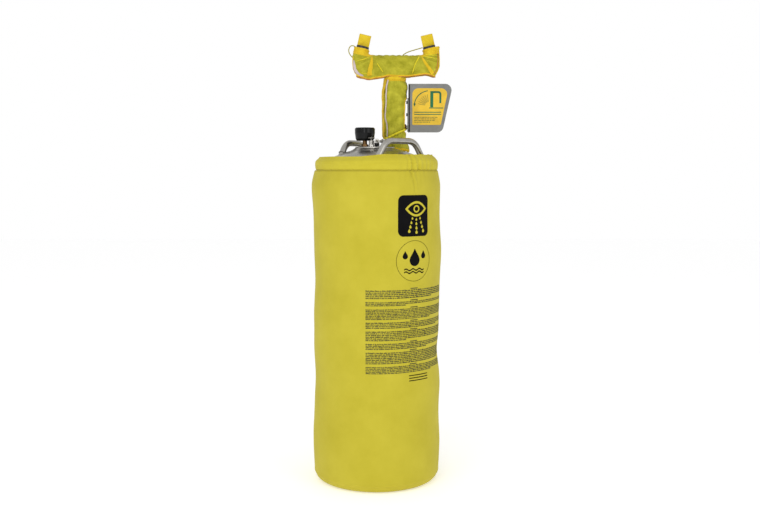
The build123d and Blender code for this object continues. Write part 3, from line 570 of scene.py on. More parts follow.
FINISHES = {
    "stainless": metal("satin_stainless", (198, 195, 188), 0.3, (1, 1, 40), 0.08, 0.08),
    "steel_wire": metal("wire_steel", (158, 156, 150), 0.34, (30, 4, 4), 0.08, 0.05),
    "brass": metal("turned_brass", (120, 92, 60), 0.36, (1, 1, 60), 0.15, 0.1),
    "chromed": metal("chrome_plate", (214, 214, 214), 0.1, (1, 1, 20), 0.05, 0.03),
    "black_rubber": moulded("black_rubber_skin", (5, 6, 6), 0.22, 300.0, 0.04, 0.2, level=0.25),
    "black_plastic": moulded("black_plastic_skin", (22, 22, 24), 0.32, 300.0, 0.1, 0.2),
    "white_plastic": moulded("white_plastic_skin", (214, 214, 208), 0.5, 300.0, 0.08, 0.05),
    "grey_plate": metal("grey_satin_plate", (134, 134, 130), 0.45, (2, 40, 40), 0.06, 0.08),
    "label": LABEL,
    "dark_steel": metal("blackened_steel", (62, 62, 60), 0.5, (1, 1, 30), 0.15, 0.12),
    "jacket_fabric": JACKET,
    "hem_fabric": HEM,
    "cord": CORD,
    "nylon": OLIVE,
    "webbing": WEB,
}
MARK_METAL = metal("weld_bead_steel", (150, 146, 136), 0.42, (8, 8, 8), 0.15, 0.2)
glass = Shader("gauge_glass", 0.06, Transmission_Weight=1.0, IOR=1.5)
smear = glass.noise(glass.place(), 60.0, 3.0)
FINISHES["lens"] = glass.finish(linear((236, 240, 240)), glass.ramp(smear, 0.3, 0.8, 0.03, 0.12))


def slot_of(node):
    return node.data.materials[0].name.split(".")[0]


for node in frame["nodes"].values():
    finish = FINISHES[slot_of(node)]
    for held in node.material_slots:
        held.link = "OBJECT"
        held.material = finish


def dress(obj, materials, body, slot, *nodes):
    """Gives a piece its materials, its body, its slot and the CAD nodes that it stands for."""
    for material in materials:
        obj.data.materials.append(material)
    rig.ride(obj, body)
    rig.slot(obj, slot)
    if nodes:
        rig.replaces(obj, *nodes)
    return obj


# ---------------- tethers
def spline_line(name, points):
    """The points of the smooth line that a NURBS spline draws from the route's points."""
    data = bpy.data.curves.new(name + "_route", "CURVE")
    data.dimensions = "3D"
    spline = data.splines.new("NURBS")
    spline.points.add(len(points) - 1)
    for place, p in zip(spline.points, points):
        place.co = (*p, 1.0)
    spline.order_u = 3
    spline.use_endpoint_u = True
    spline.resolution_u = 10
    holder = bpy.data.objects.new(name + "_route", data)
    scene.collection.objects.link(holder)
    mesh = bpy.data.meshes.new_from_object(holder)
    line = [v.co.copy() for v in mesh.vertices]
    bpy.data.objects.remove(holder)
    bpy.data.meshes.remove(mesh)
    return line


# each cord's route, from its cap's edge to the head cover
TETHERS = {
    "left": ((-0.0539, 0.060, 1.1335), (-0.0615, 0.060, 1.1385), (-0.070, 0.060, 1.136),
             (-0.074, 0.060, 1.125), (-0.070, 0.060, 1.1135), (-0.0632, 0.060, 1.107)),
    "right": ((0.1209, 0.062, 1.1325), (0.113, 0.0645, 1.1306), (0.071, 0.077, 1.1198),
              (0.0665, 0.0785, 1.1098)),
}
TETHER_WIDTH = 2.5 * MM
for side, route in TETHERS.items():
    line = spline_line("tether_" + side, route)
    length = sum((b - a).length for a, b in zip(line, line[1:]))
    tether = sweep("tether_cord_" + side, line, oval(TETHER_WIDTH, TETHER_WIDTH, 12))
    tether.data.materials.append(CORD)
    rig.slot(tether, "cord")
    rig.replaces(tether, "tether_" + side)
    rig.cord(tether, exit=line[0], length=length, diameter=TETHER_WIDTH, far_end="object",
            stiffness="limp", lay="hanging", path=line)
    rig.blend(tether, "cap_" + side, "station", line[0], line[-1])


# ---------------- jacket
CORNER = 25 * MM
panel_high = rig.box("jacket_bottom")[1]
JACKET_R = panel_high.x + CORNER
JACKET_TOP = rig.box("jacket_side")[1].z
FLOOR = panel_high.z
INNER_R = JACKET_R - 9.6 * MM
COLUMNS = 350


def around(azimuth, radius, z):
    """A point round the jacket's axis. Azimuth 0 faces the front and 90 degrees the right."""
    return Vector((math.sin(azimuth) * radius, -math.cos(azimuth) * radius, z))


def side_share(azimuth, right):
    """How much of a side bulge reaches this azimuth."""
    return max(0.0, math.sin(azimuth) if right else -math.sin(azimuth)) ** 1.5


def seam_azimuth(z):
    """Where the pleat below the hem runs, at a height."""
    return math.radians(31.5 + 6.0 * (1 - math.exp(-(0.815 - z) / 0.05)))


# where the jacket's sides stand out or in: (on the right, height, width, amount) in mm
BULGES = (
    (False, 770, 45, 3.0), (False, 530, 60, -3.5), (False, 440, 60, 1.0), (False, 278, 45, -3.5),
    (False, 112, 60, 3.5), (True, 770, 40, 0.5), (True, 600, 60, 4.5), (True, 345, 40, -5.5),
    (True, 255, 45, 2.5), (True, 95, 60, 3.5),
)


def jacket_skin(azimuth, z):
    """How far the jacket's outside stands from its plain radius."""
    mm = z / MM
    out = 0.0
    for right, centre, width, amount in BULGES:
        out += amount * side_share(azimuth, right) * bump(mm, centre, width)
    around_sin, around_cos = math.sin(azimuth), math.cos(azimuth)
    soft = noise.noise(Vector((around_sin * 1.6, around_cos * 1.6, mm / 130)))
    fine = noise.noise(Vector((around_sin * 5 + 9, around_cos * 5, mm / 42)))
    out += 1.1 * soft + 0.45 * fine
    # the pleat that runs down from the hem's gathers
    turn = (azimuth - seam_azimuth(z)) * JACKET_R / MM
    fade = step(mm, 735, 790)
    out -= 2.4 * bump(turn, 0.0, 1.8) * fade
    out += 1.5 * bump(turn, -5.0, 3.2) * fade
    out += 1.1 * bump(turn, 5.5, 3.6) * fade
    # gathers fade out below the hem seam
    top = bump(mm, 815, 26)
    pull = math.radians(33)
    gather = bump(azimuth, pull, math.radians(11)) * 1.0 + 0.18
    out += top * gather * (0.9 * math.sin(azimuth * 64) + 0.5 * math.sin(azimuth * 41 + 1.0))
    # a slanted crease near the right side
    crease = (mm - (722 - (math.degrees(azimuth) - 66) * 3.0)) / 4.0
    out -= 1.2 * math.exp(-crease * crease) * bump(math.degrees(azimuth), 74, 11)
    # the back seam
    back = (math.pi - abs(azimuth)) * JACKET_R / MM
    out -= 1.4 * bump(back, 0.0, 1.6)
    out += 0.7 * bump(back, 5.0, 3.0)
    # the seam between the wall and the bottom panel
    out -= 1.3 * bump(mm, 15, 2.4)
    out += 0.5 * bump(mm, 22, 4.0)
    # stitched line under the hem
    out -= 1.3 * bump(mm, 812, 3.0)
    return out * MM


def wall_radius(z):
    """The jacket's plain outer radius at a height above its corner."""
    mm = z / MM
    return JACKET_R + (1.2 * bump(mm, 762, 42) - 5.6 * step(mm, 772, 822)) * MM


def jacket_surface(azimuth, z, out=0.0):
    """A point on the jacket's outer wall, or that far outside it."""
    return around(azimuth, wall_radius(z) + jacket_skin(azimuth, z) + out, z)


def jacket_profile():
    """(radius, height, whether it is the outer skin), up the outside and down the inside.

    A radius of None stands for the wall's own radius at that height.
    """
    path = []
    bend = 18
    for k in range(bend + 1):
        a = math.pi / 2 * k / bend
        path.append((JACKET_R - CORNER + CORNER * math.sin(a), CORNER * (1 - math.cos(a)), True))
    spans = 250
    for k in range(1, spans + 1):
        z = CORNER + (JACKET_TOP - CORNER) * k / spans
        path.append((None, z, True))
    path.append((wall_radius(JACKET_TOP) - 4 * MM, JACKET_TOP, False))
    path.append((INNER_R - 3.6 * MM, JACKET_TOP - 1 * MM, False))
    for z in (0.79, 0.7, 0.5, 0.3, 0.12, 0.03):
        path.append((INNER_R, z, False))
    path.append((INNER_R, FLOOR, False))
    path.append((JACKET_R - CORNER, FLOOR, False))
    return path


rows = []
run = 0.0
previous = None
for radius, z, skin in jacket_profile():
    row = []
    plain = wall_radius(z) if radius is None else radius
    if previous is not None:
        run += math.hypot(plain - previous[0], z - previous[1])
    previous = (plain, z)
    for j in range(COLUMNS):
        azimuth = 2 * math.pi * j / COLUMNS - math.pi
        r = plain
        if skin:
            r += jacket_skin(azimuth, z) * step(z, 0.0, 6 * MM)
        row.append((around(azimuth, r, z), (azimuth * JACKET_R, run)))
    rows.append(row)
jacket = grid_object("jacket_body", rows, closed_along=True)
dress(jacket, [JACKET], "station", "jacket_fabric", "jacket_side")
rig.padded(jacket, fill=0.9)

base_rows = []
for radius, z in ((0.4, FLOOR), (0.9, FLOOR), (0.999, FLOOR), (0.999, 0.6 * MM), (0.99, 0.0), (0.93, 0.0),
                  (0.91, 0.5 * MM), (0.89, 0.0), (0.5, 0.0), (0.4, 0.0)):
    r = radius * (JACKET_R - CORNER)
    base_rows.append([(around(2 * math.pi * j / 96, r, z), (2 * math.pi * j / 96 * r, r)) for j in range(96)])
base = grid_object("jacket_base", base_rows, cap=True)
dress(base, [JACKET], "station", "jacket_fabric", "jacket_bottom")
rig.padded(base, fill=0.9)

# the hem: a stitched channel with its top rolled over, gathered at the right
hem_low, hem_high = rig.box("jacket_hem")
HEM_OUT = hem_high.x
HEM_IN = hem_high.x - 9.4 * MM
HEM_COLUMNS = 640


# small sharp creases in the hem's front: (azimuth in degrees, amount in mm, width in degrees)
PUCKERS = ((31.0, 1.3, 1.2), (33.2, -1.9, 1.1), (37.2, 1.4, 1.0), (38.7, -1.6, 0.8), (43.0, 0.8, 1.6),
           (47.0, -0.6, 1.4))


def hem_fold(azimuth, share):
    """How far the hem's outside ripples. share is 0 at its seam and 1 at its top."""
    pull = bump(azimuth, math.radians(36), math.radians(10))
    pull += 0.35 * bump(azimuth, math.radians(62), math.radians(16))
    pull += 0.12
    ripple = math.sin(azimuth * 58) + 0.6 * math.sin(azimuth * 37 + 2) + 0.5 * math.sin(azimuth * 91 + 1)
    out = pull * ripple * (1.0 - 0.35 * share)
    lean = 4.0 * (1 - share)
    for centre, amount, width in PUCKERS:
        rise = 0.5 + 0.5 * step(share, 0.0, 0.4)
        out += amount * bump(math.degrees(azimuth) - lean * 0.4, centre, width) * rise
    return out * 1.25 * MM


def hem_point(azimuth, turn):
    """A point of the hem's rolled channel. turn goes round the channel's section."""
    across = math.copysign(abs(math.cos(turn)) ** 0.42, math.cos(turn))
    upward = math.copysign(abs(math.sin(turn)) ** 0.62, math.sin(turn))
    share = (upward + 1) / 2
    east, north = math.sin(azimuth), math.cos(azimuth)
    r = mid_r + half_r * across
    z = mid_z + half_z * upward
    roll = 0.9 * MM * math.sin(share * math.pi) - 3.4 * MM * step(share, 0.62, 1.0)
    r += step(across, 0.2, 0.9) * (hem_fold(azimuth, share) + roll)
    r -= (6.0 + 4.0 * bump(azimuth, 1.5, 0.8)) * MM * step(share, 0.5, 1.0) ** 1.5
    if across > 0:
        r += 0.5 * MM * noise.noise(Vector((east * 6, north * 6, z * 30)))
    raised = step(azimuth, math.radians(-18), math.radians(10)) * step(azimuth, 2.7, 1.9)
    z += 5.4 * MM * raised * step(upward, -0.2, 0.9)
    if upward > 0.5:
        waves = 0.7 * math.sin(azimuth * 23) + 0.5 * math.sin(azimuth * 61)
        z += waves * bump(azimuth, math.radians(60), 0.7) * MM
        z += 0.5 * MM * noise.noise(Vector((east * 4, north * 4, 7.0)))
    return around(azimuth, r, z)


HEM_STEPS = 44
HEM_GIRTH = 85 * MM
mid_r, half_r = (HEM_OUT + HEM_IN) / 2, (HEM_OUT - HEM_IN) / 2
mid_z, half_z = (hem_low.z + hem_high.z) / 2, (hem_high.z - hem_low.z) / 2
rows = []
for k in range(HEM_STEPS):
    row = []
    for j in range(HEM_COLUMNS):
        azimuth = 2 * math.pi * j / HEM_COLUMNS - math.pi
        point = hem_point(azimuth, 2 * math.pi * k / HEM_STEPS)
        row.append((point, (azimuth * mid_r, k / HEM_STEPS * HEM_GIRTH)))
    rows.append(row)
hem = grid_object("jacket_hem_channel", rows, closed_along=True)
dress(hem, [HEM], "station", "hem_fabric", "jacket_hem")


def stitches(name, height, pitch, outward):
    """A row of short raised threads round the jacket."""
    verts, faces = [], []
    half = pitch * 0.33 / JACKET_R
    count = int(2 * math.pi * JACKET_R / pitch)
    for i in range(count):
        middle = 2 * math.pi * (i + 0.5) / count - math.pi
        start = len(verts)
        for k in range(5):
            azimuth = middle - half + 2 * half * k / 4
            lift = outward + 0.35 * MM * math.sin(math.pi * k / 4)
            for dz, dr in ((-0.4, -0.3), (0, 0.3), (0.4, -0.3)):
                verts.append(jacket_surface(azimuth, height + dz * MM, lift + dr * MM))
        for k in range(4):
            a = start + 3 * k
            faces += [(a, a + 3, a + 4, a + 1), (a + 1, a + 4, a + 5, a + 2), (a, a + 2, a + 5, a + 3)]
        faces += [(start, start + 1, start + 2), (start + 14, start + 13, start + 12)]
    return mesh_object(name, verts, faces)


dress(stitches("hem_stitches", 0.8095, 3.6 * MM, 0.15 * MM), [THREAD], "station", "jacket_fabric")


# ---------------- printed marks
class Print:
    """Flat marks in millimetres, to be laid on a surface."""

    def __init__(self):
        self.mesh = bmesh.new()

    def polygon(self, points):
        self.mesh.faces.new([self.mesh.verts.new((x, y, 0)) for x, y in points])

    def bar(self, x, y, width, height):
        self.polygon([(x, y), (x + width, y), (x + width, y + height), (x, y + height)])

    def strip(self, inner, outer):
        for i in range(len(inner) - 1):
            self.polygon([inner[i], inner[i + 1], outer[i + 1], outer[i]])

    def arc(self, cx, cy, radius, width, start, end, count=40):
        turns = [math.radians(start + (end - start) * k / count) for k in range(count + 1)]
        sides = [[(cx + r * math.cos(a), cy + r * math.sin(a)) for a in turns]
                 for r in (radius - width / 2, radius + width / 2)]
        self.strip(*sides)

    def spoke(self, cx, cy, turn, inner, outer, half):
        """A bar that points away from (cx, cy), between two distances from it."""
        a = math.radians(turn)
        x0, y0 = cx + inner * math.cos(a), cy + inner * math.sin(a)
        x1, y1 = cx + outer * math.cos(a), cy + outer * math.sin(a)
        nx, ny = -math.sin(a) * half, math.cos(a) * half
        self.polygon([(x0 - nx, y0 - ny), (x1 - nx, y1 - ny), (x1 + nx, y1 + ny), (x0 + nx, y0 + ny)])

    def drop(self, cx, cy, size):
        points = []
        for k in range(28):
            a = 2 * math.pi * k / 28
            pull = max(0.0, math.sin(a)) ** 3
            x, y = math.cos(a) * (1 - 0.75 * pull), math.sin(a) + 0.9 * pull
            points.append((cx + size * x, cy + size * y))
        self.polygon(points)

    def lay(self, name, place, reach, thick, material, body="station", slot="jacket_fabric"):
        """Makes the marks a thin piece. place turns (x, y) into a point. No edge stays longer than reach."""
        m = self.mesh
        bmesh.ops.triangulate(m, faces=m.faces[:])
        for _ in range(6):
            long = [e for e in m.edges if e.calc_length() > reach]
            if not long:
                break
            bmesh.ops.subdivide_edges(m, edges=long, cuts=1)
            bmesh.ops.triangulate(m, faces=m.faces[:])
        bmesh.ops.recalc_face_normals(m, faces=m.faces[:])
        for f in m.faces:
            if f.normal.z < 0:
                f.normal_flip()
        for v in m.verts:
            v.co = place(v.co.x, v.co.y)
        mesh = bpy.data.meshes.new(name)
        m.to_mesh(mesh)
        m.free()
        obj = bpy.data.objects.new(name, mesh)
        scene.collection.objects.link(obj)
        return dress(solidify(obj, thick), [material], body, slot)


def on_jacket(middle, height, lift=0.35):
    """Where a mark's points lie on the jacket. It is centred at an azimuth in degrees and a height in mm."""
    def place(x, y):
        azimuth = math.radians(middle) + x * MM / JACKET_R
        return jacket_surface(azimuth, (height + y) * MM, lift * MM)
    return place


MIDDLE = 35.0
SIGN_Z, RING_Z, LINES_Z = 700, 588, 400
INK_THICK = 0.25 * MM
MARK_REACH = 5.0
# a safety sign: a dark panel, and on it a pale eye with three jets of drops that rise to it
panel = Print()
PANEL_W, PANEL_H, PANEL_CORNER = 46.0, 51.0, 14.0
corners = ((PANEL_W, PANEL_H, 0), (-PANEL_W, PANEL_H, 90), (-PANEL_W, -PANEL_H, 180),
           (PANEL_W, -PANEL_H, 270))
rim = []
for x, y, start in corners:
    cx, cy = x - math.copysign(PANEL_CORNER, x), y - math.copysign(PANEL_CORNER, y)
    for k in range(9):
        a = math.radians(start + 90 * k / 8)
        rim.append((cx + PANEL_CORNER * math.cos(a), cy + PANEL_CORNER * math.sin(a)))
panel.polygon(rim)
panel.lay("print_sign", on_jacket(MIDDLE, SIGN_Z), MARK_REACH, INK_THICK, INK)

eye = Print()
EYE_X, EYE_Y = 6, 17
shares = [-1 + k / 12 for k in range(25)]
for side in (-1, 1):
    rim = [(EYE_X + 33 * t, EYE_Y + side * 19 * (1 - t * t)) for t in shares]
    edge = [(EYE_X + 26 * t, EYE_Y + side * 13.5 * (1 - t * t)) for t in shares]
    eye.strip(rim, edge)
eye.arc(EYE_X, EYE_Y, 7.5, 3.4, 0, 360, 24)
for row in range(4):
    for k in (-1, 0, 1):
        eye.drop(EYE_X + k * (12 + 3.2 * row), -10 - 10.5 * row + 3 * abs(k), 2.5 + 0.35 * row)
eye.lay("print_sign_marks", on_jacket(MIDDLE, SIGN_Z, 0.65), MARK_REACH, INK_THICK, HEM)

# a ring that holds three drops over two waves
ring = Print()
ring.arc(0, 0, 50.5, 0.8, 0, 360, 90)
ring.drop(0, 2, 15)
for k in (-1, 1):
    ring.drop(27 * k, 12, 7)
for level in (-23, -30):
    inner = [(-30 + 60 * k / 24, level + 2.2 * math.sin(k * math.pi / 4)) for k in range(25)]
    ring.strip(inner, [(x, y + 3.2) for x, y in inner])
ring.lay("print_ring", on_jacket(MIDDLE, RING_Z), MARK_REACH, INK_THICK, INK)

# eight paragraphs of strokes that stand for small print: (top, bottom, lines) in mm of height
lines = Print()
letters = random.Random(11)
PARAGRAPHS = ((517, 496, 5), (488, 478, 3), (470, 444, 7), (437, 422, 4), (415, 391, 6), (384, 369, 4),
              (362, 333, 7), (326, 308, 5))
HALF_BLOCK = 127.0
STROKE, STROKE_PITCH, WORD_GAP = 1.4, 1.75, 1.3
for top, bottom, count in PARAGRAPHS:
    pitch = (top - bottom) / (count - 0.35)
    for line_number in range(count):
        y = top - pitch * line_number - pitch * 0.65
        end = HALF_BLOCK if line_number < count - 1 else letters.uniform(-40, HALF_BLOCK)
        x = -HALF_BLOCK
        while x < end:
            for _ in range(letters.randint(2, 8)):
                tall = letters.choice((0.5, 0.5, 0.54, 0.72))
                lines.bar(x, y - LINES_Z, STROKE, pitch * tall)
                x += STROKE_PITCH
            x += WORD_GAP
for top, _, _ in PARAGRAPHS:
    for k in range(7):
        lines.bar(-11 + k * 3.2, top - LINES_Z + 1.6, 2.6, 2.4)
lines.lay("print_lines", on_jacket(MIDDLE, LINES_Z), 6.0, 0.2 * MM, TEXT_INK)

bars = Print()
for level in (0, -6.5, -13):
    bars.bar(-31, level, 62, 2.2)
bars.lay("print_bars", on_jacket(41, 298), MARK_REACH, INK_THICK, INK)


# ---------------- head cover
CLOTH_CELL = 2.2 * MM
BINDING_GAP = 2.5 * MM
cover_low, cover_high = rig.box("head_cover")
RISER_Y = (cover_low.y + cover_high.y) / 2
HEAD_Z = 1.082
ELBOWS = {"left": Vector((-0.048, RISER_Y, HEAD_Z)), "right": Vector((0.150, RISER_Y, HEAD_Z))}
TILT = math.radians(13)
AXES = {
    "left": Vector((math.sin(TILT), 0, math.cos(TILT))),
    "right": Vector((-math.sin(TILT), 0, math.cos(TILT))),
}
MIDDLE_X = (ELBOWS["left"].x + ELBOWS["right"].x) / 2


def cover_blank():
    """The cover's rough closed shape: a soft bar with a horn over each nozzle."""
    bar_rows = []
    left, right = -0.0625, 0.165
    steps = 60
    for i in range(steps + 1):
        t = i / steps
        x = left + (right - left) * t
        end = 1 - max(0.0, abs(2 * t - 1) - 0.9) / 0.1
        squeeze = 0.8 + 0.2 * math.sin(math.pi / 2 * max(0.0, end))
        row = []
        for j in range(40):
            a = 2 * math.pi * j / 40
            y = math.copysign(abs(math.cos(a)) ** 0.75, math.cos(a)) * 26.2 * MM * squeeze
            z = math.copysign(abs(math.sin(a)) ** 0.8, math.sin(a))
            z = 1.0855 + z * (26.8 * MM if z > 0 else 44 * MM) * (0.93 + 0.07 * squeeze)
            row.append((Vector((x, RISER_Y + y, z)), (0, 0)))
        bar_rows.append(row)
    return grid_object("cover_bar", bar_rows, cap=True)


def horn_blank(side):
    """The cover's collar round a nozzle, which spreads away from the middle as it rises."""
    rows = []
    axis = AXES[side]
    across = Vector((axis.z, 0, -axis.x))
    outward, widths = (1, (16.0, 21.6, 26.8)) if side == "right" else (-1, (15.5, 21.0, 22.2))
    for i in range(14):
        t = i / 13
        along = -4 * MM + 56 * MM * t
        radius = (23.5 - 4.2 * step(t, 0.25, 0.95)) * MM
        low_share = min(1.0, max(0.0, along / MM / 25))
        high_share = max(0.0, (along / MM - 25) / 22)
        outer = (widths[0] + (widths[1] - widths[0]) * low_share + (widths[2] - widths[1]) * high_share) * MM
        row = []
        for j in range(32):
            a = 2 * math.pi * j / 32
            wide = outer if outward * math.cos(a) > 0 else radius * 0.97
            p = ELBOWS[side] + axis * along + across * math.cos(a) * wide
            p += Vector((0, 1, 0)) * math.sin(a) * radius
            row.append((p, (0, 0)))
        rows.append(row)
    return grid_object("horn_" + side, rows, cap=True)


def join(objs):
    """Makes the objects one mesh."""
    with bpy.context.temp_override(active_object=objs[0], selected_editable_objects=objs):
        bpy.ops.object.join()
    return objs[0]


cover = join([cover_blank(), horn_blank("left"), horn_blank("right")])
cover.name = "head_cover_cloth"
remesh = cover.modifiers.new("remesh", "REMESH")
remesh.mode = "VOXEL"
remesh.voxel_size = CLOTH_CELL
soften = cover.modifiers.new("soften", "SMOOTH")
soften.factor = 0.5
soften.iterations = 14
baked(cover)


def toward(p, a, b):
    """(distance from p to the segment a-b, share along it), in the x-z plane and millimetres."""
    ax, az, bx, bz = a[0], a[1], b[0], b[1]
    dx, dz = bx - ax, bz - az
    t = max(0.0, min(1.0, ((p[0] - ax) * dx + (p[1] - az) * dz) / (dx * dx + dz * dz)))
    return math.hypot(p[0] - ax - t * dx, p[1] - az - t * dz), t


# ridges and creases in the cover's front, as (from, to, width, height) in mm of x and z
PLEATS = (
    ((-15, 1104), (-24, 1056), 5.0, 2.6), ((-7, 1104), (-5, 1058), 2.2, -2.2),
    ((1, 1092), (17, 1066), 2.0, 1.6), ((-50, 1094), (-16, 1106), 1.9, 3.0),
    ((-52, 1089), (-18, 1101), 1.8, -3.0), ((-40, 1108), (-18, 1112), 1.8, 1.8),
    ((-52, 1078), (-26, 1092), 3.2, 1.6), ((-46, 1070), (-24, 1086), 2.6, -1.8),
    ((-50, 1064), (-30, 1070), 3.0, 1.8), ((112, 1104), (94, 1066), 2.2, 2.0),
    ((106, 1100), (88, 1062), 3.2, -1.8), ((118, 1105), (150, 1060), 4.5, 2.4),
    ((122, 1108), (158, 1101), 1.8, 3.0), ((120, 1104), (156, 1096), 1.7, -3.0),
    ((124, 1113), (162, 1109), 1.7, 2.2), ((124, 1101), (156, 1089), 2.2, 2.0),
    ((130, 1093), (156, 1079), 2.4, -2.0), ((136, 1084), (154, 1070), 2.4, 1.5),
    ((24, 1084), (70, 1066), 5.0, -1.8), ((56, 1086), (92, 1070), 5.0, 1.6),
    ((70, 1080), (94, 1064), 3.4, -2.2), ((8, 1110), (60, 1104), 4.0, -1.0),
    ((74, 1106), (100, 1098), 3.5, 1.2), ((16, 1098), (40, 1080), 6.0, 1.3),
)


def narrowed(x, z):
    """How far the cover's ends stand in from its widest place, in mm. They slope in towards the hem."""
    if x > 100:
        return -11.0 * step(z, 1084, 1054) * ((x - 100) / 65) ** 1.5
    if x < 0:
        return 10.0 * step(z, 1088, 1054) * (-x / 64) ** 2
    return 0.0


def horn_share(p):
    """(side, height along that nozzle's axis in mm, distance from it) for the nearer nozzle."""
    side = "left" if p.x < MIDDLE_X else "right"
    arm = p - ELBOWS[side]
    along = arm.dot(AXES[side])
    return side, along / MM, (arm - AXES[side] * along).length / MM


ELBOW_CLEAR = 14.9 * MM
mesh = cover.data
mesh.calc_loop_triangles()
normals = [v.normal.copy() for v in mesh.vertices]
for v in mesh.vertices:
    p, n = v.co.copy(), normals[v.index]
    side, along, away = horn_share(p)
    x, z = p.x / MM, p.z / MM
    front = step(-n.y, -0.2, 0.5)
    out = 0.0
    for a, b, width, height in PLEATS:
        d, t = toward((x, z), a, b)
        out += height * bump(d, 0, width) * front
        back_a = (102 - a[0] + 6, a[1])
        back_b = (102 - b[0] - 4, b[1])
        d, t = toward((x, z), back_a, back_b)
        out += 0.8 * height * bump(d, 0, width * 1.2) * (1 - front)
    out += 1.1 * noise.noise(Vector((x / 17, p.y / MM / 17, z / 12)))
    out += 0.5 * noise.noise(Vector((x / 6, p.y / MM / 6, z / 5)))
    cuff = step(along, 22, 30) * step(z, 1096, 1108)
    out = out * (1 - 0.6 * cuff)
    gathers = 0.5 * math.sin(math.atan2(p.y - RISER_Y, p.x) * 17 + along * 0.3)
    out += cuff * (0.8 * math.sin(along * 1.55) + gathers)
    hang = step(z, 1078, 1058)
    out += hang * (1.4 * math.sin(x / 9.0) + 0.9 * math.sin(x / 4.1 + 1))
    p.x += narrowed(x, z) * MM
    place = p + n * out * MM
    arm = place - ELBOWS[side]
    # the cloth stays outside the steel elbow
    v.co = ELBOWS[side] + arm.normalized() * max(arm.length, ELBOW_CLEAR)


def hem_height(x, y):
    """The height in mm of the cover's lower edge, which waves."""
    base = 1058.0 + 0.9 * math.sin(x / 14) + 0.6 * math.sin(x / 5.5 + 2)
    base -= 5.5 * bump(x, -14, 34)
    base += 5.0 * bump(x, 128, 18)
    base += 4.0 * bump(x, -58, 9) + 1.5 * bump(x, 50, 24)
    return base + (1.5 if y > RISER_Y else 0.0)


edit = bmesh.new()
edit.from_mesh(mesh)
gone = []
for f in edit.faces:
    c = f.calc_center_median()
    side, along, away = horn_share(c)
    if c.z / MM < hem_height(c.x / MM, c.y) or (along > 47.2 and away < 34):
        gone.append(f)
cut_away(edit, gone)
edges = [edge for edge in relaxed_edges(edit, boundary_loops(edit), 12) if len(edge[0]) > 30]
edit.to_mesh(mesh)
edit.free()
cover_tree = BVHTree.FromObject(cover, bpy.context.evaluated_depsgraph_get())


def sewn(obj, cloth, is_binding, thick, replaced):
    """Turns a cut surface into thick cloth with a pale lining, and gives the area of its one skin."""
    mesh = obj.data
    mesh.materials.clear()
    for m in (cloth, GOLD, LINING, LINING):
        mesh.materials.append(m)
    for f in mesh.polygons:
        f.material_index = 1 if is_binding(f.center) else 0
    area = sum(f.area for f in mesh.polygons)
    solidify(obj, thick, inner=2)
    obj.data.polygons.foreach_set("use_smooth", [True] * len(obj.data.polygons))
    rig.ride(obj, "station")
    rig.slot(obj, "nylon")
    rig.replaces(obj, replaced)
    return area


def on_collar(point):
    """Whether a point of the cover is on the gold collar round a nozzle."""
    _, along, away = horn_share(point)
    return along > 30 and away < 34 and point.z > 1.107


cover_area = sewn(cover, OLIVE, on_collar, 1.2 * MM, "head_cover")
bindings = []
for i, (line, facing) in enumerate(edges):
    line, facing = thinned(line, facing, BINDING_GAP)
    if len(line) < 12:
        continue
    piece = sweep("cover_binding_" + str(i), line, oval(4.2 * MM, 2.6 * MM), facing, closed=True)
    bindings.append(dress(piece, [GOLD], "station", "webbing"))
    if i == 0:
        lower = [p + n * 0.6 * MM - Vector((0, 0, 2.0 * MM)) for p, n in zip(line, facing)]
        piece = sweep("cover_hem_line", lower, oval(1.8 * MM, 1.8 * MM), facing, closed=True)
        bindings.append(dress(piece, [RUST], "station", "webbing"))


REARWARD = Vector((0, 1, 0))
TAPE_LIFT = 0.6 * MM


def strip_on_cover(name, points, width, thick, material, taper):
    """A tape, or a painted highlight strip, laid on the cover's front. points are (x, z) in mm."""
    line, facing = [], []
    for p in smooth_line([(x * MM, RISER_Y - 0.12, z * MM) for x, z in points], 7):
        hit, normal, _, _ = cover_tree.ray_cast(p, REARWARD, 0.2)
        if hit is None:
            continue
        if normal.dot(REARWARD) > 0:
            normal = -normal
        line.append(hit + normal * TAPE_LIFT)
        facing.append(normal)
    piece = sweep(name, line, oval(width * MM, thick * MM, 12), facing, scale=taper)
    return dress(piece, [material], "station", "webbing")


def belly(t):
    """A tape's width along its length, when it is narrow at both ends."""
    return 0.2 + 0.8 * math.sin(math.pi * min(1.0, max(0.0, t))) ** 0.8


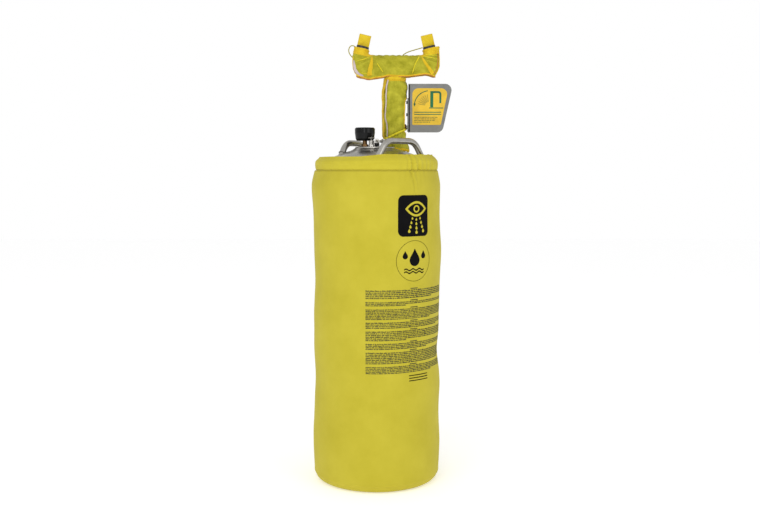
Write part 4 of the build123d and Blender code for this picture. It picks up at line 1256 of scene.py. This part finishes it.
# (name, points, width, thickness, material, width along the length)
TAPES_AND_HIGHLIGHTS = (
    ("cover_tape_left", ((-12, 1106), (-13, 1092), (-16, 1075), (-18, 1057)),
     18, 1.6, GOLD, lambda t: 0.22 + 0.78 * t),
    ("cover_tape_right", ((118, 1106), (126, 1092), (138, 1075), (147, 1062)),
     11, 1.6, GOLD, lambda t: 0.4 + 0.6 * t),
    ("cover_piping_left", ((2, 1089), (9, 1078), (16.5, 1067)), 2.2, 2.0, BRIGHT, None),
    ("cover_piping_right", ((111.5, 1106), (102, 1088), (93.5, 1064)),
     4.4, 2.2, BRIGHT, lambda t: 1.0 - 0.4 * t),
    ("cover_lining_left", ((-59, 1098), (-58, 1086), (-54.5, 1072), (-45, 1061), (-34, 1057)),
     9, 1.4, LINING, belly),
    ("cover_rim_left", ((-60.5, 1106), (-61.5, 1090), (-59, 1074), (-51, 1061), (-42, 1056)),
     3.4, 2.2, GOLD, None),
    ("cover_rim_right", ((163, 1124), (163.5, 1106), (163, 1090), (160.5, 1074), (154, 1061)),
     3.0, 2.2, GOLD, None),
    # the four fold strips are painted highlights: bright lines along fold ridges, standing for light caught on the
    # folds
    ("cover_fold_highlight_1", ((-54, 1095), (-36, 1099), (-15, 1107)), 2.4, 2.0, BRIGHT, belly),
    ("cover_fold_highlight_2", ((120, 1113), (140, 1111), (158, 1110)), 2.2, 1.8, BRIGHT, belly),
    ("cover_fold_highlight_3", ((119, 1109), (138, 1105), (154, 1102)), 2.6, 2.0, BRIGHT, belly),
    ("cover_fold_highlight_4", ((-50, 1064), (-30, 1064), (-8, 1061)), 2.0, 1.6, BRIGHT, belly),
    ("cover_line_right", ((159.5, 1118), (160, 1104), (159, 1088), (156, 1073), (150, 1063)),
     2.0, 1.6, RUST, None),
)
tapes_and_highlights = [strip_on_cover(*tape) for tape in TAPES_AND_HIGHLIGHTS]
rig.sheet(cover, flat=(0.25, 0.26), held="stretched", rests_on=["head_tee", "elbows"], area=cover_area,
         with_pieces=bindings + tapes_and_highlights)


# ---------------- sleeve
sleeve_low, sleeve_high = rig.box("riser_sleeve")
SLEEVE_X = (sleeve_low.x + sleeve_high.x) / 2
SLEEVE_A = (sleeve_high.x - sleeve_low.x) / 2
SLEEVE_B = (sleeve_high.y - sleeve_low.y) / 2
SLEEVE_FOOT = sleeve_low.z - 9 * MM
SLEEVE_HEAD = sleeve_high.z
TIE_LEAN = math.radians(24)
TIE_Z = 0.9055


def tie_height(theta):
    """The height of the slanting tie cord at an angle round the sleeve."""
    return TIE_Z + math.sin(theta) * SLEEVE_A * math.tan(TIE_LEAN)


def sleeve_point(theta, z, out=0.0):
    """A point on the sleeve. theta 0 faces the front and 90 degrees the right."""
    mm = z / MM
    turn = math.degrees(theta)
    r = 0.0
    r += 1.8 * noise.noise(Vector((math.sin(theta) * 2.4, math.cos(theta) * 2.4, mm / 26)))
    r += 1.1 * noise.noise(Vector((math.sin(theta) * 6, math.cos(theta) * 6, mm / 11)))
    # sagging folds across the front, and fuller cloth at both sides
    sag = mm - 0.0045 * (turn - 10) ** 2
    r += 2.0 * math.sin(sag / 4.6) * bump(turn, 10, 52) * bump(mm, 948, 26)
    r += 1.6 * math.sin((mm + turn * 0.4) / 4.0) * bump(turn, 30, 50) * bump(mm, 1015, 20)
    r += 4.2 * bump(turn, -88, 42) * step(mm, 1040, 1018) * step(mm, 880, 900)
    r += 5.0 * bump(turn, 88, 40) * bump(mm, 1030, 15) + 2.6 * bump(turn, 88, 40) * bump(mm, 998, 22)
    waist = bump(mm, 1047, 9)
    r -= 2.4 * waist
    r += waist * 0.6 * math.sin(theta * 26)
    knot = bump(z, tie_height(theta), 0.006)
    r -= 3.2 * knot
    near_tie = bump(z, tie_height(theta), 0.022)
    r += near_tie * (0.9 * math.sin(theta * 21) + 0.5 * math.sin(theta * 13 + 1))
    flare = step(tie_height(theta) - z, 0.0, 0.03)
    r += flare * (1.5 + 2.6 * math.sin(theta * 7 + 0.6) + 1.6 * math.sin(theta * 12 + 2))
    r += flare * 9.5 * bump(turn, 84, 32) * step(mm, 898, 868)
    a = SLEEVE_A - 2.2 * MM + (r + out / MM) * MM
    b = SLEEVE_B - 2.2 * MM + (r + out / MM) * MM
    return Vector((SLEEVE_X + math.sin(theta) * a, RISER_Y - math.cos(theta) * b, z))


def foot_height(theta):
    """The height of the sleeve's wavy lower edge at an angle."""
    return SLEEVE_FOOT + (1.6 * math.sin(theta * 7 + 2) + 2.2 * math.sin(theta * 3 + 1)) * MM


ACROSS, UP = 150, 96
rows = []
for i in range(UP + 1):
    row = []
    for j in range(ACROSS):
        theta = 2 * math.pi * j / ACROSS - math.pi
        z = foot_height(theta) + (SLEEVE_HEAD - foot_height(theta)) * i / UP
        row.append((sleeve_point(theta, z), (theta * SLEEVE_A, z)))
    rows.append(row)
sleeve = grid_object("sleeve_cloth", rows)
mesh = sleeve.data
edit = bmesh.new()
edit.from_mesh(mesh)
gone = []
# an opening in the sleeve's right side, by the valve
SLOT_LOW, SLOT_HIGH, SLOT_HALF = 0.909, 1.001, 15 * MM
for f in edit.faces:
    c = f.calc_center_median()
    if c.x > SLEEVE_X + 12 * MM:
        across = (c.y - RISER_Y) / SLOT_HALF
        upward = (c.z - (SLOT_LOW + SLOT_HIGH) / 2) / ((SLOT_HIGH - SLOT_LOW) / 2)
        if across ** 4 + upward ** 4 < 1:
            gone.append(f)
cut_away(edit, gone)
slot_loops = [
    c for c in boundary_loops(edit) if len(c) > 20 and SLOT_LOW - 0.01 < c[0].co.z < SLOT_HIGH + 0.01
]
slot_edges = relaxed_edges(edit, slot_loops, 14)
edit.to_mesh(mesh)
edit.free()
sleeve_area = sewn(sleeve, OLIVE_UV, lambda point: point.z > 1.0445, 1.1 * MM, "riser_sleeve")


def on_sleeve(name, path, width, thick, lift, material, slot, closed=False, scale=None):
    """A tape along (theta in degrees, height in metres) points of the sleeve."""
    line, facing = [], []
    for turn, z in path:
        theta = math.radians(turn)
        line.append(sleeve_point(theta, z, lift))
        facing.append(Vector((math.sin(theta), -math.cos(theta), 0)))
    piece = sweep(name, line, oval(width, thick, 12), facing, closed=closed, scale=scale)
    return dress(piece, [material], "station", slot)


def ring_path(count, height):
    """Points all round the sleeve, for on_sleeve. height gives the height at an angle."""
    turns = [360 * k / count - 180 for k in range(count)]
    return [(turn, height(math.radians(turn))) for turn in turns]


STEPS = 90
EDGE_LOW, EDGE_HIGH = 0.874, 1.05
edge_path = [
    (-70 + 4 * math.sin(k / 11), EDGE_LOW + (EDGE_HIGH - EDGE_LOW) * k / STEPS) for k in range(STEPS + 1)
]
edge = on_sleeve("sleeve_edge_binding", edge_path, 19 * MM, 1.8 * MM, 0.9 * MM, GOLD, "webbing",
                 scale=lambda t: 0.72 + 0.28 * t)
lining_path = [(t + 24 + 2 * math.sin(z * 90), z) for t, z in edge_path]
lining = on_sleeve("sleeve_edge_lining", lining_path, 5.5 * MM, 1.6 * MM, 0.9 * MM, LINING, "nylon",
                   scale=lambda t: 0.7 + 0.3 * t)
foot_path = ring_path(140, lambda theta: foot_height(theta) + 1 * MM)
foot = on_sleeve("sleeve_foot_binding", foot_path, 7.5 * MM, 3.0 * MM, -0.4 * MM, GOLD, "webbing",
                 closed=True)
tie = on_sleeve("sleeve_tie_cord", ring_path(110, tie_height), 5.4 * MM, 3.2 * MM, 3.2 * MM, BRIGHT, "cord",
                closed=True)
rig.replaces(tie, "sleeve_tie")
waist_path = ring_path(110, lambda theta: 1.0505)
waist = on_sleeve("sleeve_waist_band", waist_path, 8 * MM, 2.2 * MM, 0.8 * MM, GOLD, "webbing", closed=True)
sleeve_pieces = [edge, lining, foot, tie, waist]
for line, facing in slot_edges:
    line, facing = thinned(line, facing, BINDING_GAP)
    piece = sweep("sleeve_slot_binding", line, oval(4.5 * MM, 2.6 * MM), facing, closed=True)
    sleeve_pieces.append(dress(piece, [GOLD], "station", "webbing"))
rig.sheet(sleeve, flat=(0.205, 0.195), held="gathered", rests_on=["valve_body", "riser_pipe_upper"],
         area=min(sleeve_area, 0.205 * 0.195), with_pieces=sleeve_pieces)


# ---------------- pull tabs
def pull_tab(side):
    """A loop of ribbed webbing that stands on its cap."""
    axis = AXES[side]
    across = Vector((axis.z, 0, -axis.x))
    out = Vector((0, -1, 0))
    root = ELBOWS[side] + axis * 54.8 * MM
    half, tall, thick = 15.5 * MM, 31 * MM, 1.5 * MM
    gap = 1.5 * MM
    # the webbing's middle line, seen from the side: up, over the top and down again
    bend, straight = gap + thick / 2, tall - gap - thick
    loop = []
    steps = 44
    for k in range(steps + 1):
        loop.append((bend, straight * k / steps))
    for k in range(1, 10):
        a = math.pi * k / 10
        loop.append((bend * math.cos(a), straight + bend * math.sin(a)))
    for k in range(steps, -1, -1):
        loop.append((-bend, straight * k / steps))
    rows = []
    ring = []
    for i, (y, z) in enumerate(loop):
        before, after = loop[max(0, i - 1)], loop[min(len(loop) - 1, i + 1)]
        d = Vector((after[0] - before[0], after[1] - before[1])).normalized()
        rib = 0.28 * MM * math.sin(i * 1.15)
        ring.append(((y, z), (d.y, -d.x), rib))
    wide = 12
    for (y, z), (ny, nz), rib in ring:
        row = []
        for sign in (1, -1):
            span = range(wide + 1) if sign > 0 else range(wide, -1, -1)
            for k in span:
                u = -1 + 2 * k / wide
                edge_thin = 1 - 0.45 * step(abs(u), 0.86, 1.0)
                off = sign * (thick / 2 * edge_thin + rib * edge_thin)
                sway = 0.5 * MM * math.sin(z / MM / 9) * u
                p = root + across * (u * half) + out * (y + ny * off + sway) + axis * (z + nz * off)
                row.append((p, (u * half, z)))
        rows.append(row)
    tab = grid_object("pull_tab_web_" + side, rows, cap=True)
    dress(tab, [WEB], "cap_" + side, "webbing", "pull_tab_" + side)


for side in ("left", "right"):
    pull_tab(side)


# ---------------- flag label
label_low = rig.box("flag_label")[0]


# marks on flat faces need no bending, so their edges may be this long
FLAT_REACH = 9.0


def on_label(x, y):
    """A point on the label's face, from millimetres along it and up it."""
    return Vector((label_low.x + x * MM, label_low.y - 0.12 * MM, label_low.z + y * MM))


# a curved arrow and a bent lever, over two plain bars. ARROW is the arrow's centre and radius
ARROW = (45, 49, 40)
sign = Print()
sign.arc(*ARROW, 2.2, 97, 172, 30)
sign.polygon([(2.6, 55.5), (9.6, 55.5), (5.2, 47.5)])
sign.bar(47, 46, 8, 42)
sign.bar(55, 83, 13, 5)
sign.arc(68, 80, 5.5, 5, 0, 90, 10)
sign.bar(71, 57, 5, 23)
sign.bar(44, 43, 37, 2.4)
sign.bar(5, 32, 71, 2.2)
sign.bar(5, 26.5, 71, 2.2)
sign.lay("label_sign", on_label, FLAT_REACH, 0.12 * MM, GREEN_INK, "flag_valve", "label")

# the dark edge strip down the plate's left side
plate_low, plate_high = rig.box("flag_plate")


def on_plate(x, y):
    """A point on the plate's front, from millimetres along it and up it."""
    return Vector((plate_low.x + x * MM, plate_low.y - 0.15 * MM, plate_low.z + y * MM))


strip = Print()
strip.bar(0.4, 1.5, 3.6, (plate_high.z - plate_low.z) / MM - 3.0)
strip.lay("flag_edge_strip", on_plate, FLAT_REACH, 0.3 * MM, FINISHES["dark_steel"], "flag_valve",
          "dark_steel")

# rays inside the arrow's bend, and four lines of strokes at the bottom
fine = Print()
for k in range(7):
    fine.spoke(ARROW[0], ARROW[1], 102 + 11 * k, 12, 31, 0.6)
for level in range(4):
    x = 5.0
    while x < 60 - 4 * level:
        width = letters.uniform(3, 9)
        fine.bar(x, 19 - 4.2 * level, width, 1.8)
        x += width + 1.4
fine.lay("label_lines", on_label, FLAT_REACH, 0.12 * MM, FINE_INK, "flag_valve", "label")


# ---------------- relief spring
spring_low, spring_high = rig.box("relief_spring")
SPRING_WIRE = 1.0 * MM
SPRING_PITCH = 1.9 * MM
middle = (spring_low + spring_high) / 2
coil_r = (spring_high.x - spring_low.x - SPRING_WIRE) / 2
coil_length = spring_high.z - spring_low.z - SPRING_WIRE
turns = coil_length / SPRING_PITCH
coil = []
COIL_STEPS = 160
for k in range(COIL_STEPS + 1):
    a = 2 * math.pi * turns * k / COIL_STEPS
    z = spring_low.z + SPRING_WIRE / 2 + coil_length * k / COIL_STEPS
    coil.append(Vector((middle.x + coil_r * math.cos(a), middle.y + coil_r * math.sin(a), z)))
spring = sweep("relief_coil", coil, oval(SPRING_WIRE, SPRING_WIRE, 10))
dress(spring, [FINISHES["steel_wire"]], "station", "steel_wire", "relief_spring")
# the stem pushes the spring up against the top of the body
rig.squash(spring, "relief_pull", axis=(0, 0, 1), anchor=(middle.x, middle.y, spring_high.z), keep=0.58)


# ---------------- gauge dial
dial_low, dial_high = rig.box("gauge_dial")
DIAL_X, DIAL_Y = (dial_low.x + dial_high.x) / 2, (dial_low.y + dial_high.y) / 2


def on_dial(x, y):
    """A point on the dial's face, from millimetres to the right and away from the front."""
    return Vector((DIAL_X + x * MM, DIAL_Y + y * MM, dial_high.z + 0.12 * MM))


# the needle rests pointing right, and its joint turns it clockwise through this angle
DIAL_SWEEP = 270.0
DIAL_STEPS = 27
dial_reach = (dial_high.x - dial_low.x) / 2 / MM
dial_edge = dial_reach - 1.2
marks = Print()
for k in range(DIAL_STEPS + 1):
    length = 3.4 if k % 3 == 0 else 1.9
    marks.spoke(0, 0, -DIAL_SWEEP * k / DIAL_STEPS, dial_edge - length, dial_edge, 0.22)
marks.lay("dial_marks", on_dial, FLAT_REACH, 0.1 * MM, INK, slot="white_plastic")

# a green band for the working pressure
band = Print()
band.arc(0, 0, dial_reach - 6.4, 1.6, -0.65 * DIAL_SWEEP, -0.5 * DIAL_SWEEP, 24)
band.lay("dial_band", on_dial, FLAT_REACH, 0.1 * MM, GREEN_INK, slot="white_plastic")


# ---------------- welds at the handle feet
def bead(name, centre, axis, radius, thick):
    """A rippled weld bead round a tube where it meets the dome."""
    side = axis.orthogonal().normalized()
    other = axis.cross(side)
    rows = []
    for i in range(72):
        a = 2 * math.pi * i / 72
        out = side * math.cos(a) + other * math.sin(a)
        size = thick * (1 + 0.18 * math.sin(a * 18))
        row = []
        for j in range(8):
            b = 2 * math.pi * j / 8
            p = centre + out * (radius + math.cos(b) * size) + axis * math.sin(b) * size * 0.8
            row.append((p, (a * radius, b * size)))
        rows.append(row)
    dress(grid_object(name, rows, closed_along=True), [MARK_METAL], "station", "stainless")


TANK_R, TOP_TANGENT, TOP_HEAD = 152.4, 794.0, 76.0


def dome_height(x, y):
    """The height in mm of the tank's top at a place."""
    return TOP_TANGENT + TOP_HEAD * math.sqrt(max(0.0, 1 - (x * x + y * y) / TANK_R ** 2))


HANDLE_TUBE, HANDLE_FOOT, HANDLE_RUN = 7.95, 822.0, 45.0
# each handle's direction in degrees, and its distance, height and bar's two ends in mm
HANDLE_PLACES = {"left": (150.0, 66.0, 882.0, -36.0, 42.0), "right": (-45.0, 83.0, 886.0, -48.0, 54.0)}
for side, (turn, off_axis, height, bar_from, bar_to) in HANDLE_PLACES.items():
    away = Vector((math.cos(math.radians(turn)), math.sin(math.radians(turn)), 0))
    along = Vector((-away.y, away.x, 0))
    for end, sign, bar_end in (("from", -1, bar_from), ("to", 1, bar_to)):
        top = away * off_axis + along * bar_end + Vector((0, 0, height))
        foot = away * off_axis + along * (bar_end + sign * HANDLE_RUN) + Vector((0, 0, HANDLE_FOOT))
        # the weld is where the tube's middle line goes into the dome
        share = 0.0
        while share < 1.0:
            p = top.lerp(foot, share)
            if p.z < dome_height(p.x, p.y):
                break
            share += 0.005
        bead(f"weld_{side}_{end}", p * MM, (foot - top).normalized(), HANDLE_TUBE * MM, 1.5 * MM)


# the neck's drawn fillet, from the lid's ring down to the dome
ring_low, ring_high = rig.box("neck_ring")
RING_X = (ring_low.x + ring_high.x) / 2 / MM
RING_A = (ring_high.x - ring_low.x) / 2 / MM
RING_B = (ring_high.y - ring_low.y) / 2 / MM
FILLET_WIDTH, FILLET_TOP = 13.0, 869.0
rows = []
for k in range(16):
    share = min(k, 12) / 12
    row = []
    for j in range(120):
        a = 2 * math.pi * j / 120
        normal = Vector((math.cos(a) / RING_A, math.sin(a) / RING_B)).normalized()
        inside = 0.2 if k < 14 else -3.0
        spread = inside + (FILLET_WIDTH * share if k < 14 else 0.0)
        x = RING_X + RING_A * math.cos(a) + normal.x * spread
        y = RING_B * math.sin(a) + normal.y * spread
        base = dome_height(x, y)
        z = base + 0.2 + (FILLET_TOP - base) * (1 - share) ** 2.2
        if k in (13, 14):
            z = base - 2.0
        elif k == 15:
            z = FILLET_TOP - 1.0
        row.append((Vector((x, y, z)) * MM, (a * 0.05, k * 0.001)))
    rows.append(row)
collar = grid_object("neck_fillet", rows, closed_along=True)
dress(collar, [FINISHES["stainless"]], "station", "stainless")


# ---------------- floor and light
floor = mesh_object("floor", [(-9, -9, 0), (9, -9, 0), (9, 9, 0), (-9, 9, 0)], [(0, 1, 2, 3)], smooth=False)
pale = Shader("pale_floor", 0.7, Emission_Color=(1, 1, 1, 1), Emission_Strength=0.34)
floor.data.materials.append(pale.finish(linear((250, 250, 250))))
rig.stage(floor)

world = bpy.data.worlds.new("studio")
world.use_nodes = True
sky = world.node_tree
soft = sky.nodes["Background"]
soft.inputs["Color"].default_value = (1.0, 1.0, 1.0, 1.0)
soft.inputs["Strength"].default_value = 0.68
seen = sky.nodes.new("ShaderNodeBackground")
seen.inputs["Strength"].default_value = 1.0
seen.inputs["Color"].default_value = (1.0, 1.0, 1.0, 1.0)
path = sky.nodes.new("ShaderNodeLightPath")
choice = sky.nodes.new("ShaderNodeMixShader")
sky.links.new(path.outputs["Is Camera Ray"], choice.inputs[0])
sky.links.new(soft.outputs[0], choice.inputs[1])
sky.links.new(seen.outputs[0], choice.inputs[2])
sky.links.new(choice.outputs[0], sky.nodes["World Output"].inputs["Surface"])
scene.world = world


def soft_light(name, place, target, size, power):
    """A rectangular lamp that faces its target."""
    data = bpy.data.lights.new(name, "AREA")
    data.shape = "RECTANGLE"
    data.size, data.size_y = size
    data.energy = power
    lamp = bpy.data.objects.new(name, data)
    scene.collection.objects.link(lamp)
    lamp.location = place
    lamp.rotation_euler = (Vector(target) - Vector(place)).to_track_quat("-Z", "Y").to_euler()


soft_light("key", (-1.6, -2.6, 2.3), (0, 0, 0.6), (1.8, 1.8), 22)
soft_light("fill", (2.0, -2.2, 1.6), (0, 0, 0.6), (1.5, 2.0), 13)
soft_light("strip", (-0.25, -2.4, 1.25), (0, 0, 0.9), (0.25, 1.2), 5)

made_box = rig.bounds()
with open("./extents.json", "w") as out:
    json.dump({"cad": [list(c) for c in cad_box], "visual": [list(c) for c in made_box]}, out)
